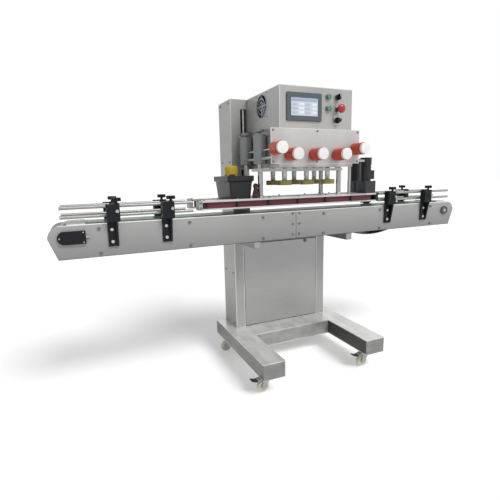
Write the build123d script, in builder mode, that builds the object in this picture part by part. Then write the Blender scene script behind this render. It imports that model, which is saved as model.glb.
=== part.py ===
"""Inline screw capping machine: belt conveyor, bottle gripping belts, three pairs of
cap wheels on a lifting head, control box, rear column and a wheeled stand.

Millimetres, +X along the conveyor, -Y towards the operator, +Z up. The origin is on
the floor, under the middle of the conveyor and midway along the stand's feet.
"""
from build123d import *
from math import cos, radians, sin, sqrt
import os

os.makedirs("parts", exist_ok=True)

# Clearances
running_gap = 0.05
seat_gap = 0.3

# Stand
foot_length = 566.0
stand_width = 616.0
stand_centre_x = 26.0
foot_width = 100.0
foot_height = 70.0
foot_wall = 4.0
beam_width = 120.0

# Casters
caster_height = 80.0
caster_wheel_radius = 25.0
caster_wheel_width = 20.0
caster_trail = 26.0
caster_inset = 63.0
caster_plate_size = 64.0
caster_plate_thickness = 4.0
caster_crown_height = 10.0
caster_crown_radius = 21.0
kingpin_radius = 6.0
caster_axle_radius = 4.0
caster_cheek = 2.5

# Cabinet and column
cabinet_width = 510.0
cabinet_depth = 153.0
cabinet_top = 700.0
cabinet_wall = 4.0
door_thickness = 2.0
pillar_width = 48.0
door_height = 420.0
door_lip = 10.0
column_width = 87.0
column_top = 1230.0
slot_width = 33.0
slot_inset = 48.0
slot_low = 890.0
slot_high = 1188.0
lift_screw_radius = 6.0
lift_screw_low = 760.0

# Conveyor
conveyor_length = 2000.0
conveyor_width = 150.0
conveyor_centre_y = 15.0
plate_top = 730.0
plate_height = 123.0
plate_sheet = 3.0
plate_nose_radius = 46.0
plate_end_slope = 28.0
seam_gap = 0.6
belt_thickness = 3.0
belt_width = 130.0
belt_rise = 4.0
belt_sag_x = 440.0
belt_sag_half = 190.0
belt_sag_drop = 14.0
roller_radius = 46.0
roller_inset = 69.0
roller_shaft_radius = 8.0
bed_sheet = 3.0
bed_end_gap = 12.0
cross_bar_radius = 8.0
cross_bar_stations = (-490.0, -165.0, 148.0, 484.0)
cross_bar_end_inset = 170.0
cross_bar_inset = 20.0
bottom_bar_radius = 6.0
bottom_bar_inset = 11.0
end_cover_length = 62.0
end_cover_sheet = 2.0
boss_radius = 22.0
boss_depth = 8.0
tension_cover_length = 94.0
tension_cover_height = 47.0
tension_cover_depth = 10.0
tension_screw_radius = 4.0
tension_screw_length = 14.0
support_tube_size = 32.0
support_tube_wall = 3.0
support_tube_left_inset = 19.0
support_tube_overlap = 100.0

# Guide rails
rail_rod_radius = 6.0
rail_upper_z = 790.0
rail_lower_z = 757.0
rail_offset_y = 63.0
rail_left_end_inset = 45.0
rail_left_end = -470.0
rail_right_start = 480.0
rail_right_end_inset = 35.0
rail_rear_right_start = 500.0
bracket_left_inset = 218.0
bracket_left_pitch = 200.0
bracket_right_inset = 228.0
bracket_right_pitch = 244.0
bracket_width = 36.0
bracket_head_width = 46.0
bracket_thickness = 7.0
bracket_low = 643.0
bracket_shoulder = 736.0
bracket_high = 799.0
bracket_head_depth = 30.0
bracket_web = 8.0
bracket_web_reach = 22.0
cross_rod_radius = 6.0
cross_rod_z = 773.5
cross_rod_offset = 18.0
cross_rod_tail = 12.0
clamp_width = 24.0
clamp_depth = 22.0
clamp_margin = 5.0
star_radius = 18.0
star_height = 13.0
star_stem_radius = 5.0
star_stem_height = 9.0

# Bottle gripping belts
grip_offset = 60.0
grip_pulley_radius = 20.0
grip_belt_thickness = 5.0
grip_low = 757.0
grip_high = 796.0
grip_bottom_sheet = 6.0
grip_top_sheet = 8.0
grip_plate_inner = 39.0
grip_plate_outer = 97.0
grip_plate_left = -440.0
grip_idle_x = -405.0
grip_drive_front_x = 405.0
grip_drive_rear_x = 440.0
grip_plate_overhang = 30.0
grip_shaft_radius = 6.0
standoff_pitch = 145.0
standoff_radius = 5.0
standoff_inset = 6.0
end_block_length = 22.0
gearbox_size = 66.0
gearbox_height = 57.0
motor_radius = 25.0
motor_setback = 6.0
motor_height = 78.0
motor_cap_radius = 27.0
motor_cap_height = 33.0
terminal_box_reach = 32.0
terminal_box_height = 42.0
post_offset = 72.0
post_radius = 11.0
post_left_x = -173.0
post_right_x = 230.0
barrel_radius = 27.0
barrel_low = 938.0
barrel_high = 1059.0
barrel_shoulder = 6.0
barrel_neck_radius = 8.0
barrel_neck = 8.0
barrel_cap_radius = 21.0
barrel_cap = 11.0
stay_x = 292.0
stay_radius = 7.0
stay_top = 985.0
stay_strap = 10.0
bell_knob_x = -200.0
bell_knob_radius = 15.0
bell_knob_height = 62.0

# Head
head_left = -187.0
head_right = 238.0
head_front = -187.0
head_panel_sheet = 3.0
head_low = 932.0
head_high = 1070.0
head_back = 127.0
head_back_sheet = 4.5
head_top_sheet = 8.0
head_side_sheet = 3.0
head_side_left_inset = 7.0
head_side_right_inset = 6.5
base_plate_thickness = 12.0
base_plate_setback = 1.0
base_plate_left = -150.0
base_plate_right = 205.0
guide_bar_radius = 6.0
guide_bar_z = 958.0
grip_screw_z = 991.0
cross_bar_front_y = -92.0
cross_bar_depth = 8.0
cross_bar_left = -225.0
cross_bar_right = 225.0
cross_bar_high = 916.0
cross_bar_height = 11.0
arm_width = 27.0
arm_height = 40.0
arm_low = 985.0
lift_nut_depth = 26.0
lift_nut_width = 25.0
lift_screw_offset = 4.0

# Hand knobs
hand_screw_radius = 5.0
hand_knob_radius = 25.0
hand_knob_length = 58.0
hand_knob_disc_radius = 23.0
hand_knob_disc = 12.0
hand_knob_gap = 2.0
screw_end_wall = 1.5
spacing_screw_z = 968.0
grip_knob_right_x = 215.0

# Cap wheels
wheel_pitch = 113.0
wheel_first_x = -47.0
wheel_count = 3
wheel_offset_y = 55.0
wheel_radius = 33.0
wheel_low = 846.0
wheel_height = 21.0
wheel_hub_radius = 11.0
wheel_hub_height = 14.0
spindle_radius = 7.0
screw_to_spindle = 57.0
carriage_left = 65.0
carriage_right = 18.0
carriage_half_depth = 22.0
carriage_height = 48.0
spindle_pulley_radius = 18.0
spindle_pulley_height = 14.0
spindle_pulley_gap = 4.0
carriage_travel = 5.0

# Control box
box_left = -147.0
box_right = 198.0
box_front = -185.0
box_height = 160.0
box_wall = 2.5
fan_y = -26.0
fan_z = 1174.0
fan_radius = 46.0
fan_hub_radius = 16.0
fan_depth = 14.0
fan_blades = 5
guard_wire = 2.0
screen_centre_x = -37.5
screen_centre_z = 1151.0
bezel_width = 161.0
bezel_height = 107.0
bezel_depth = 7.0
glass_width = 124.0
glass_height = 68.0
lamp_x = 77.0
lamp_radius = 11.0
lamp_upper_z = 1196.0
lamp_lower_z = 1151.0
control_x = 122.0
selector_z = 1196.0
stop_z = 1149.0
speed_z = 1106.0
control_ring_radius = 14.0
control_ring_depth = 4.0
stop_head_radius = 17.0
stop_head_depth = 14.0
stop_stem_radius = 9.0
stop_stem_length = 22.0
speed_plate = 36.0
speed_plate_depth = 2.0

# Bin with spare caps
bin_left = -314.0
bin_right = -211.0
bin_front = -60.0
bin_back = 120.0
bin_height = 68.0
bin_taper = 6.0
bin_wall = 3.0
bin_rim = 8.0
bin_rim_height = 26.0
bin_rim_flare = 6.0
spare_cap_radius = 27.0
spare_cap_height = 27.0
spare_cap_count = 5

# Planes and lines that several pieces share
foot_half = foot_length / 2
stand_left = stand_centre_x - stand_width / 2
stand_right = stand_centre_x + stand_width / 2
foot_low = caster_height
foot_top = foot_low + foot_height
cabinet_left = stand_centre_x + 1 - cabinet_width / 2
cabinet_right = cabinet_left + cabinet_width
cabinet_back = foot_half
cabinet_front = cabinet_back - cabinet_depth
column_right = cabinet_left + column_width
plate_low = plate_top - plate_height
front_face = conveyor_centre_y - conveyor_width / 2
rear_face = conveyor_centre_y + conveyor_width / 2
roller_x = conveyor_length / 2 - roller_inset
rail_left_start = -conveyor_length / 2 + rail_left_end_inset
rail_right_end = conveyor_length / 2 - rail_right_end_inset
bracket_left_end = -conveyor_length / 2 + bracket_left_inset
bracket_right_end = conveyor_length / 2 - bracket_right_inset
bracket_left_stations = (bracket_left_end, bracket_left_end + bracket_left_pitch)
bracket_right_stations = (bracket_right_end - bracket_right_pitch, bracket_right_end)
belt_inner_top = plate_top + belt_rise - belt_thickness
roller_z = belt_inner_top - roller_radius
lift_screw_x = cabinet_left + slot_inset + slot_width / 2 + lift_screw_offset
lift_screw_y = cabinet_front + 17
head_base_low = head_low - base_plate_thickness
box_low = head_high
box_high = box_low + box_height
sides = {"front": -1, "rear": 1}
wheel_stations = [wheel_first_x + i * wheel_pitch for i in range(wheel_count)]


def block(x0, x1, y0, y1, z0, z1, mode=Mode.ADD):
    """A rectangular block between two corners, added to the part being built."""
    with Locations(((x0 + x1) / 2, (y0 + y1) / 2, (z0 + z1) / 2)):
        Box(x1 - x0, y1 - y0, z1 - z0, mode=mode)


def bar_x(x0, x1, y, z, radius, mode=Mode.ADD):
    """A round bar along X."""
    with Locations(((x0 + x1) / 2, y, z)):
        Cylinder(radius, x1 - x0, rotation=(0, 90, 0), mode=mode)


def bar_y(x, y0, y1, z, radius, mode=Mode.ADD):
    """A round bar along Y."""
    with Locations((x, (y0 + y1) / 2, z)):
        Cylinder(radius, y1 - y0, rotation=(90, 0, 0), mode=mode)


def bar_z(x, y, z0, z1, radius, mode=Mode.ADD):
    """A round bar along Z."""
    with Locations((x, y, (z0 + z1) / 2)):
        Cylinder(radius, z1 - z0, mode=mode)


def span(a, b):
    """The two numbers in rising order."""
    return min(a, b), max(a, b)


def across(side, distance):
    """The y of a line at that distance from the conveyor's centre line."""
    return conveyor_centre_y + side * distance


def keep(piece, name):
    """Labels a finished piece and writes it."""
    piece.part.label = name
    export_step(piece.part, "parts/" + name + ".step")


# Stand: two box section feet joined by one wide cross beam, with the caster plates
beam_front = cabinet_front - beam_width
caster_spots = {
    "front_left": (stand_left + foot_width / 2, -foot_half + caster_inset),
    "front_right": (stand_right - foot_width / 2, -foot_half + caster_inset),
    "rear_left": (stand_left + foot_width / 2, foot_half - caster_inset),
    "rear_right": (stand_right - foot_width / 2, foot_half - caster_inset),
}
with BuildPart() as base_frame:
    for foot_x in (stand_left, stand_right - foot_width):
        block(foot_x, foot_x + foot_width, -foot_half, foot_half, foot_low, foot_top)
    block(stand_left + foot_width, stand_right - foot_width, beam_front, cabinet_front, foot_low, foot_top)
    upright_edges = base_frame.edges().filter_by(Axis.Z).group_by(Axis.Y)
    fillet(upright_edges[0] + upright_edges[-1], radius=foot_wall)
    for foot_x in (stand_left, stand_right - foot_width):
        block(foot_x + foot_wall, foot_x + foot_width - foot_wall, -foot_half + foot_wall, foot_half - foot_wall,
              foot_low + foot_wall, foot_top - foot_wall, mode=Mode.SUBTRACT)
    block(stand_left + foot_width, stand_right - foot_width, beam_front + foot_wall, cabinet_front - foot_wall,
          foot_low + foot_wall, foot_top - foot_wall, mode=Mode.SUBTRACT)
    for spot_x, spot_y in caster_spots.values():
        half = caster_plate_size / 2
        block(spot_x - half, spot_x + half, spot_y - half, spot_y + half,
              foot_low - caster_plate_thickness, foot_low)
        bar_z(spot_x, spot_y, foot_low - caster_plate_thickness - caster_crown_height - 3,
              foot_low - caster_plate_thickness, kingpin_radius)
keep(base_frame, "base_frame")

# Swivel forks: a round crown on the kingpin, two cheeks that lean back to the axle
crown_top = foot_low - caster_plate_thickness - seat_gap
crown_low = crown_top - caster_crown_height
cheek_inner = caster_wheel_width / 2 + 1.5
for spot_name, (spot_x, spot_y) in caster_spots.items():
    axle_x = spot_x - caster_trail
    with BuildPart() as caster_fork:
        bar_z(spot_x, spot_y, crown_low, crown_top, caster_crown_radius)
        for cheek_side in (-1, 1):
            near, far = span(spot_y + cheek_side * cheek_inner, spot_y + cheek_side * (cheek_inner + caster_cheek))
            with BuildSketch(Plane.XZ.offset(-far)) as cheek_outline:
                with Locations((axle_x, caster_wheel_radius)):
                    Circle(caster_axle_radius * 2.2)
                with Locations((spot_x - 4, crown_low + 1)):
                    Rectangle(caster_crown_radius * 1.5, 2)
                make_hull()
            extrude(amount=far - near)
        bar_y(axle_x, spot_y - cheek_inner - caster_cheek - 2, spot_y + cheek_inner + caster_cheek + 2,
              caster_wheel_radius, caster_axle_radius)
        if spot_name.startswith("front"):
            with BuildSketch(Plane.XZ.offset(-spot_y - cheek_inner - caster_cheek)) as pedal_outline:
                with BuildLine():
                    Polyline((axle_x - 6, crown_low - 1), (axle_x - 30, crown_low - 8), (axle_x - 52, crown_low - 2),
                             (axle_x - 53, crown_low - 5), (axle_x - 30, crown_low - 12),
                             (axle_x - 6, crown_low - 5), close=True)
                make_face()
            extrude(amount=2 * (cheek_inner + caster_cheek))
            block(axle_x - 8, spot_x - caster_crown_radius / 2, spot_y - cheek_inner - caster_cheek,
                  spot_y + cheek_inner + caster_cheek, crown_low - 4, crown_low)
        bar_z(spot_x, spot_y, crown_low - 4, crown_top, kingpin_radius + running_gap, mode=Mode.SUBTRACT)
    keep(caster_fork, "caster_fork_" + spot_name)

    with BuildPart() as caster_wheel:
        with BuildSketch(Plane.YZ.offset(axle_x)) as wheel_section:
            bore_radius = caster_axle_radius + running_gap
            with Locations((spot_y, caster_wheel_radius + (bore_radius + caster_wheel_radius) / 2)):
                Rectangle(caster_wheel_width, caster_wheel_radius - bore_radius)
            tread = wheel_section.vertices().group_by(Axis.Z)[-1]
            fillet(tread, radius=4)
        revolve(axis=Axis((axle_x, spot_y, caster_wheel_radius), (0, 1, 0)))
        for face_side in (-1, 1):
            groove_near, groove_far = span(spot_y + face_side * (caster_wheel_width / 2 - 3),
                                           spot_y + face_side * caster_wheel_width / 2)
            bar_y(axle_x, groove_near, groove_far, caster_wheel_radius, caster_wheel_radius * 0.72,
                  mode=Mode.SUBTRACT)
            bar_y(axle_x, groove_near, groove_far, caster_wheel_radius, caster_axle_radius * 2)
        bar_y(axle_x, spot_y - caster_wheel_width / 2, spot_y + caster_wheel_width / 2, caster_wheel_radius,
              bore_radius, mode=Mode.SUBTRACT)
    keep(caster_wheel, "caster_wheel_" + spot_name)

# Cabinet with the lifting column on its left end: one welded sheet housing
door_left = cabinet_left + pillar_width
door_right = cabinet_right - pillar_width
door_low = foot_top + seat_gap
door_top = door_low + door_height
slot_left = cabinet_left + slot_inset
with BuildPart() as cabinet:
    block(cabinet_left, cabinet_right, cabinet_front, cabinet_back, foot_top, cabinet_top)
    block(cabinet_left, column_right, cabinet_front, cabinet_back, cabinet_top, column_top)
    block(cabinet_left + cabinet_wall, cabinet_right - cabinet_wall, cabinet_front + cabinet_wall,
          cabinet_back - cabinet_wall, foot_top + cabinet_wall, cabinet_top - cabinet_wall, mode=Mode.SUBTRACT)
    block(cabinet_left + cabinet_wall, column_right - cabinet_wall, cabinet_front + cabinet_wall,
          cabinet_back - cabinet_wall, cabinet_top - cabinet_wall, column_top - cabinet_wall, mode=Mode.SUBTRACT)
    block(door_left, door_right, cabinet_front, cabinet_front + door_thickness, foot_top, door_top + seat_gap,
          mode=Mode.SUBTRACT)
    block(door_left + door_lip, door_right - door_lip, cabinet_front, cabinet_front + cabinet_wall,
          foot_top + door_lip, door_top - door_lip, mode=Mode.SUBTRACT)
    block(slot_left, slot_left + slot_width, cabinet_front, cabinet_front + cabinet_wall, slot_low, slot_high,
          mode=Mode.SUBTRACT)
    for shelf_low, shelf_high in ((slot_high + 4, slot_high + 16), (lift_screw_low - 14, lift_screw_low - 2)):
        block(lift_screw_x - 14, column_right - cabinet_wall, cabinet_front + cabinet_wall, lift_screw_y + 16,
              shelf_low, shelf_high)
        bar_z(lift_screw_x, lift_screw_y, shelf_low, shelf_high, lift_screw_radius - 1 + running_gap,
              mode=Mode.SUBTRACT)
keep(cabinet, "cabinet")

with BuildPart() as cabinet_door:
    block(door_left + seat_gap, door_right - seat_gap, cabinet_front, cabinet_front + door_thickness,
          door_low, door_top)
    fillet(cabinet_door.edges().filter_by(Axis.Y), radius=3)
keep(cabinet_door, "cabinet_door")

with BuildPart() as lift_screw:
    bar_z(lift_screw_x, lift_screw_y, lift_screw_low, slot_high + 2, lift_screw_radius)
    bar_z(lift_screw_x, lift_screw_y, lift_screw_low - 14, slot_high + 16, lift_screw_radius - 1)
keep(lift_screw, "lift_screw")

# Conveyor side plates: each side in two lengths that meet at the middle
with BuildPart() as conveyor_sides:
    for inner_face in (front_face + plate_sheet, rear_face):
        for direction in (-1, 1):
            with BuildSketch(Plane.XZ.offset(-inner_face)) as side_outline:
                with BuildLine():
                    tip_x = direction * conveyor_length / 2
                    nose_x = tip_x - direction * plate_nose_radius
                    nose_z = plate_top - plate_nose_radius
                    seam_x = direction * seam_gap / 2
                    top_edge = Line((seam_x, plate_top), (nose_x, plate_top))
                    nose = RadiusArc(top_edge @ 1, (tip_x, nose_z), direction * plate_nose_radius)
                    slope = Line(nose @ 1, (tip_x - direction * plate_end_slope, plate_low))
                    bottom_edge = Line(slope @ 1, (seam_x, plate_low))
                    Line(bottom_edge @ 1, top_edge @ 0)
                make_face()
                with Locations((direction * roller_x, roller_z)):
                    Circle(roller_shaft_radius + running_gap, mode=Mode.SUBTRACT)
            extrude(amount=plate_sheet)
keep(conveyor_sides, "conveyor_sides")

# Slider bed, cross bars, end covers, bearing bosses, the belt tensioner's screw, and the
# two square tubes that carry the conveyor forwards from the cabinet
inner_front = front_face + plate_sheet
inner_rear = rear_face - plate_sheet
bed_half = roller_x - roller_radius - bed_end_gap
tube_low = plate_low - support_tube_size
tube_spots = (
    (cabinet_left + support_tube_left_inset, cabinet_front),
    (cabinet_right, cabinet_front + support_tube_overlap),
)
with BuildPart() as conveyor_bed:
    block(-bed_half, bed_half, inner_front, inner_rear, belt_inner_top - seat_gap - bed_sheet,
          belt_inner_top - seat_gap)
    end_bar_x = conveyor_length / 2 - cross_bar_end_inset
    for station in (-end_bar_x,) + cross_bar_stations + (end_bar_x,):
        bar_y(station, inner_front, inner_rear, plate_top - cross_bar_inset - cross_bar_radius / 2,
              cross_bar_radius)
        bar_y(station, inner_front, inner_rear, plate_low + bottom_bar_inset, bottom_bar_radius)
    for direction in (-1, 1):
        cover_far = direction * (roller_x + 4)
        cover_near = cover_far - direction * end_cover_length
        cover_x0, cover_x1 = span(cover_near, cover_far)
        cover_z = belt_inner_top + belt_thickness + seat_gap
        block(cover_x0, cover_x1, inner_front, inner_rear, cover_z, cover_z + end_cover_sheet)
        for lug_y in (inner_front, inner_rear - end_cover_sheet):
            block(cover_x0, cover_x1, lug_y, lug_y + end_cover_sheet, cover_z - 12, cover_z + end_cover_sheet)
    for outer, far in ((front_face, front_face - boss_depth), (rear_face, rear_face + boss_depth)):
        near, away = span(outer, far)
        bar_y(roller_x, near, away, roller_z, boss_radius)
        bar_y(roller_x, near, away, roller_z, roller_shaft_radius + running_gap, mode=Mode.SUBTRACT)
    tension_y = front_face - tension_cover_depth / 2
    tension_x = -roller_x - tension_cover_height / 2 - 15 + tension_cover_length
    bar_x(tension_x, tension_x + tension_screw_length, tension_y, roller_z, tension_screw_radius)
    for tube_left, tube_back in tube_spots:
        tube_front = front_face + plate_sheet
        block(tube_left, tube_left + support_tube_size, tube_front, tube_back, tube_low, plate_low)
        block(tube_left + support_tube_wall, tube_left + support_tube_size - support_tube_wall, tube_front,
              tube_back - support_tube_wall, tube_low + support_tube_wall, plate_low - support_tube_wall,
              mode=Mode.SUBTRACT)
keep(conveyor_bed, "conveyor_bed")

# Conveyor belt: an endless loop whose return run sags under the right half
with BuildPart() as conveyor_belt:
    with BuildSketch(Plane.XZ.offset(-(conveyor_centre_y + belt_width / 2))) as belt_loop:
        for reach, loop_mode in ((roller_radius + belt_thickness, Mode.ADD), (roller_radius, Mode.SUBTRACT)):
            sag_z = plate_low - belt_sag_drop + roller_radius - reach
            with BuildLine():
                run = Line((-roller_x, roller_z + reach), (roller_x, roller_z + reach))
                turn = ThreePointArc(run @ 1, (roller_x + reach, roller_z), (roller_x, roller_z - reach))
                back = Line(turn @ 1, (belt_sag_x + belt_sag_half, roller_z - reach))
                sag = ThreePointArc(back @ 1, (belt_sag_x, sag_z), (belt_sag_x - belt_sag_half, roller_z - reach))
                home = Line(sag @ 1, (-roller_x, roller_z - reach))
                ThreePointArc(home @ 1, (-roller_x - reach, roller_z), run @ 0)
            make_face(mode=loop_mode)
    extrude(amount=belt_width)
keep(conveyor_belt, "conveyor_belt")

for roller_name, direction in (("idler_roller", -1), ("drive_roller", 1)):
    shaft_ends = (front_face + seat_gap, rear_face - seat_gap)
    if direction > 0:
        shaft_ends = (front_face - boss_depth + 1, rear_face + boss_depth - 1)
    with BuildPart() as roller:
        bar_y(direction * roller_x, conveyor_centre_y - belt_width / 2 - 2, conveyor_centre_y + belt_width / 2 + 2,
              roller_z, roller_radius - seat_gap)
        bar_y(direction * roller_x, shaft_ends[0], shaft_ends[1], roller_z, roller_shaft_radius)
    keep(roller, roller_name)

# Rail brackets: flange, tapered web and bored head, each with a star knob on top; with
# them the cover over the belt tensioner at the left end, moulded in the same black
bracket_stations = bracket_left_stations + bracket_right_stations
with BuildPart() as rail_brackets:
    for side in sides.values():
        face = across(side, conveyor_width / 2)
        for station in bracket_stations:
            flange_far = face + side * bracket_thickness
            y0, y1 = span(face, flange_far)
            left = station - bracket_width / 2
            block(left, left + bracket_width, y0, y1, bracket_low, bracket_shoulder)
            y0, y1 = span(face, face + side * bracket_head_depth)
            block(left, left + bracket_head_width, y0, y1, bracket_shoulder, bracket_high)
            web_left = left + bracket_width - bracket_web
            web_plane = Plane.YZ.offset(web_left)
            with BuildSketch(web_plane) as web_outline:
                with BuildLine():
                    Polyline((flange_far, bracket_low), (flange_far + side * 3, bracket_low),
                             (flange_far + side * bracket_web_reach, bracket_shoulder),
                             (flange_far, bracket_shoulder), close=True)
                make_face()
            extrude(amount=bracket_web)
            bar_y(station + cross_rod_offset, y0, y1, cross_rod_z, cross_rod_radius + running_gap,
                  mode=Mode.SUBTRACT)
            knob_y = face + side * bracket_head_depth / 2
            bar_z(station + cross_rod_offset, knob_y, bracket_high, bracket_high + star_stem_height,
                  star_stem_radius)
            with BuildSketch(Plane.XY.offset(bracket_high + star_stem_height)) as star:
                with Locations((station + cross_rod_offset, knob_y)):
                    Circle(star_radius * 0.72)
                    with PolarLocations(star_radius * 0.66, 5):
                        Circle(star_radius * 0.34)
            extrude(amount=star_height)
    tension_round_x = -roller_x - 15
    cover_end = tension_round_x - tension_cover_height / 2 + tension_cover_length
    with BuildSketch(Plane.XZ.offset(-front_face)) as cover_outline:
        with Locations((tension_round_x, roller_z)):
            Circle(tension_cover_height / 2)
        with Locations(((tension_round_x + cover_end) / 2, roller_z)):
            Rectangle(cover_end - tension_round_x, tension_cover_height)
    extrude(amount=tension_cover_depth)
keep(rail_brackets, "rail_brackets")

# Guide rails: two round rods on each side of the lane, at either end of the conveyor,
# held by clamp blocks on cross rods that slide through the brackets
rail_spans = {
    "left": (rail_left_start, rail_left_end, bracket_left_stations),
    "right": (rail_right_start, rail_right_end, bracket_right_stations),
}
for side_name, side in sides.items():
    rod_y = across(side, rail_offset_y)
    for end_name, (rod_start, rod_end, stations) in rail_spans.items():
        if (side_name, end_name) == ("rear", "right"):
            rod_start = rail_rear_right_start
        with BuildPart() as guide_rail:
            for station in stations:
                hold_x = station + cross_rod_offset
                y0, y1 = span(rod_y - side * clamp_depth / 2, rod_y + side * clamp_depth / 2)
                block(hold_x - clamp_width / 2, hold_x + clamp_width / 2, y0, y1,
                      rail_lower_z - rail_rod_radius - clamp_margin, rail_upper_z + rail_rod_radius + clamp_margin)
                for rod_z in (rail_upper_z, rail_lower_z):
                    bar_x(hold_x - clamp_width / 2, hold_x + clamp_width / 2, rod_y, rod_z, rail_rod_radius,
                          mode=Mode.SUBTRACT)
                outer_end = across(side, conveyor_width / 2 + bracket_head_depth + cross_rod_tail)
                y0, y1 = span(rod_y + side * clamp_depth / 2, outer_end)
                bar_y(hold_x, y0, y1, cross_rod_z, cross_rod_radius)
            for rod_z in (rail_upper_z, rail_lower_z):
                bar_x(rod_start, rod_end, rod_y, rod_z, rail_rod_radius)
        keep(guide_rail, "guide_rail_" + side_name + "_" + end_name)

# Gripping belt units, one on each side of the bottle lane, hung from the head by two
# posts whose barrels slide on the head's guide bars
drive_x = {"front": grip_drive_front_x, "rear": grip_drive_rear_x}
belt_low = grip_low + grip_bottom_sheet + 1
belt_high = grip_high - grip_top_sheet - 1
for side_name, side in sides.items():
    unit_right = drive_x[side_name] + grip_plate_overhang
    pulley_y = across(side, grip_offset)
    post_y = across(side, post_offset)
    with BuildPart() as unit_frame:
        y0, y1 = span(across(side, grip_plate_inner), across(side, grip_plate_outer))
        for plate_z0, plate_z1 in ((grip_low, grip_low + grip_bottom_sheet), (grip_high - grip_top_sheet, grip_high)):
            block(grip_plate_left, unit_right, y0, y1, plate_z0, plate_z1)
        for pulley_x in (grip_idle_x, drive_x[side_name]):
            bar_z(pulley_x, pulley_y, grip_low, grip_high, grip_shaft_radius + running_gap, mode=Mode.SUBTRACT)
        standoff_y = across(side, grip_plate_outer - standoff_inset)
        standoff_count = int((unit_right - grip_plate_left - 20) // standoff_pitch) + 1
        for i in range(standoff_count):
            bar_z(grip_plate_left + 8 + i * standoff_pitch, standoff_y, grip_low, grip_high, standoff_radius)
        for post_x in (post_left_x, post_right_x):
            bar_z(post_x, post_y, grip_high, barrel_low, post_radius)
            with BuildSketch(Plane.XZ.offset(-post_y)) as barrel_half:
                with BuildLine():
                    neck_z = barrel_high + barrel_neck
                    Polyline((post_x, barrel_low), (post_x + barrel_radius, barrel_low),
                             (post_x + barrel_radius, barrel_high - barrel_shoulder),
                             (post_x + barrel_radius - barrel_shoulder, barrel_high),
                             (post_x + barrel_neck_radius, barrel_high), (post_x + barrel_neck_radius, neck_z),
                             (post_x + barrel_cap_radius, neck_z), (post_x + barrel_cap_radius, neck_z + barrel_cap),
                             (post_x, neck_z + barrel_cap), close=True)
                make_face()
            revolve(axis=Axis((post_x, post_y, 0), (0, 0, 1)))
            bar_y(post_x, post_y - barrel_radius, post_y + barrel_radius, guide_bar_z,
                  guide_bar_radius + running_gap, mode=Mode.SUBTRACT)
            screw_x = post_left_x if post_x == post_left_x else grip_knob_right_x
            bar_y(screw_x, post_y - barrel_radius, post_y + barrel_radius, grip_screw_z,
                  hand_screw_radius + running_gap, mode=Mode.SUBTRACT)
        if side_name == "front":
            bar_z(stay_x, post_y, grip_high, stay_top, stay_radius)
            strap_z = grip_high + gearbox_height + motor_height + motor_cap_height - stay_strap
            strap_half = stay_radius + 3
            off_middle = max(abs(pulley_y - post_y) - strap_half, 0)
            strap_end = drive_x[side_name] - motor_setback - sqrt(motor_cap_radius**2 - off_middle**2)
            block(stay_x - strap_half, strap_end, post_y - strap_half, post_y + strap_half, strap_z - stay_strap,
                  strap_z)
    keep(unit_frame, side_name + "_unit_frame")

    with BuildPart() as unit_motor:
        motor_x = drive_x[side_name]
        half = gearbox_size / 2
        gearbox_high = grip_high + gearbox_height
        with BuildSketch(Plane.XY.offset(grip_high)) as gearbox_plan:
            with Locations((motor_x, pulley_y)):
                RectangleRounded(gearbox_size, gearbox_size, 8)
        extrude(amount=gearbox_height)
        shell_x = motor_x - motor_setback
        bar_z(shell_x, pulley_y, gearbox_high, gearbox_high + motor_height, motor_radius)
        for fin in range(6):
            fin_z = gearbox_high + 8 + fin * (motor_height - 14) / 6
            bar_z(shell_x, pulley_y, fin_z, fin_z + 3, motor_radius + 1.5)
        bar_z(shell_x, pulley_y, gearbox_high + motor_height, gearbox_high + motor_height + motor_cap_height,
              motor_cap_radius)
        block(shell_x + motor_radius - 5, motor_x + terminal_box_reach, pulley_y - 18, pulley_y + 18,
              gearbox_high + 9, gearbox_high + 9 + terminal_box_height)
        bar_x(motor_x + half, motor_x + half + 12, pulley_y, grip_high + gearbox_height / 3, 8)
        for block_x0 in (grip_plate_left - end_block_length + 8, unit_right):
            y0, y1 = span(across(side, grip_plate_inner + 10), across(side, grip_plate_outer))
            x1 = grip_plate_left if block_x0 < 0 else unit_right + end_block_length - 8
            block(block_x0, x1, y0, y1, grip_low, grip_high)
        if side_name == "front":
            bell_y = across(side, grip_plate_outer - bell_knob_radius - 1)
            ball_rise = bell_knob_height - 44
            ball_radius = (ball_rise ** 2 + 9 ** 2) / (2 * ball_rise)
            with BuildSketch(Plane.XZ.offset(-bell_y)) as bell_half:
                with BuildLine():
                    rim = Line((bell_knob_x, grip_high), (bell_knob_x + bell_knob_radius, grip_high))
                    lip = Line(rim @ 1, (bell_knob_x + bell_knob_radius, grip_high + 14))
                    flank = Line(lip @ 1, (bell_knob_x + 9, grip_high + 38))
                    waist = Line(flank @ 1, (bell_knob_x + 9, grip_high + 44))
                    crown = ThreePointArc(waist @ 1, (bell_knob_x + ball_radius, grip_high + bell_knob_height
                                                      - ball_radius), (bell_knob_x, grip_high + bell_knob_height))
                    Line(crown @ 1, rim @ 0)
                make_face()
            revolve(axis=Axis((bell_knob_x, bell_y, 0), (0, 0, 1)))
    keep(unit_motor, side_name + "_unit_motor")

    with BuildPart() as grip_belt:
        for reach, loop_mode in ((grip_pulley_radius + grip_belt_thickness, Mode.ADD),
                                 (grip_pulley_radius, Mode.SUBTRACT)):
            with BuildSketch(Plane.XY.offset(belt_low)) as grip_loop:
                with Locations(((grip_idle_x + drive_x[side_name]) / 2, pulley_y)):
                    SlotOverall(drive_x[side_name] - grip_idle_x + 2 * reach, 2 * reach)
            extrude(amount=belt_high - belt_low, mode=loop_mode)
    keep(grip_belt, side_name + "_grip_belt")

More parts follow.
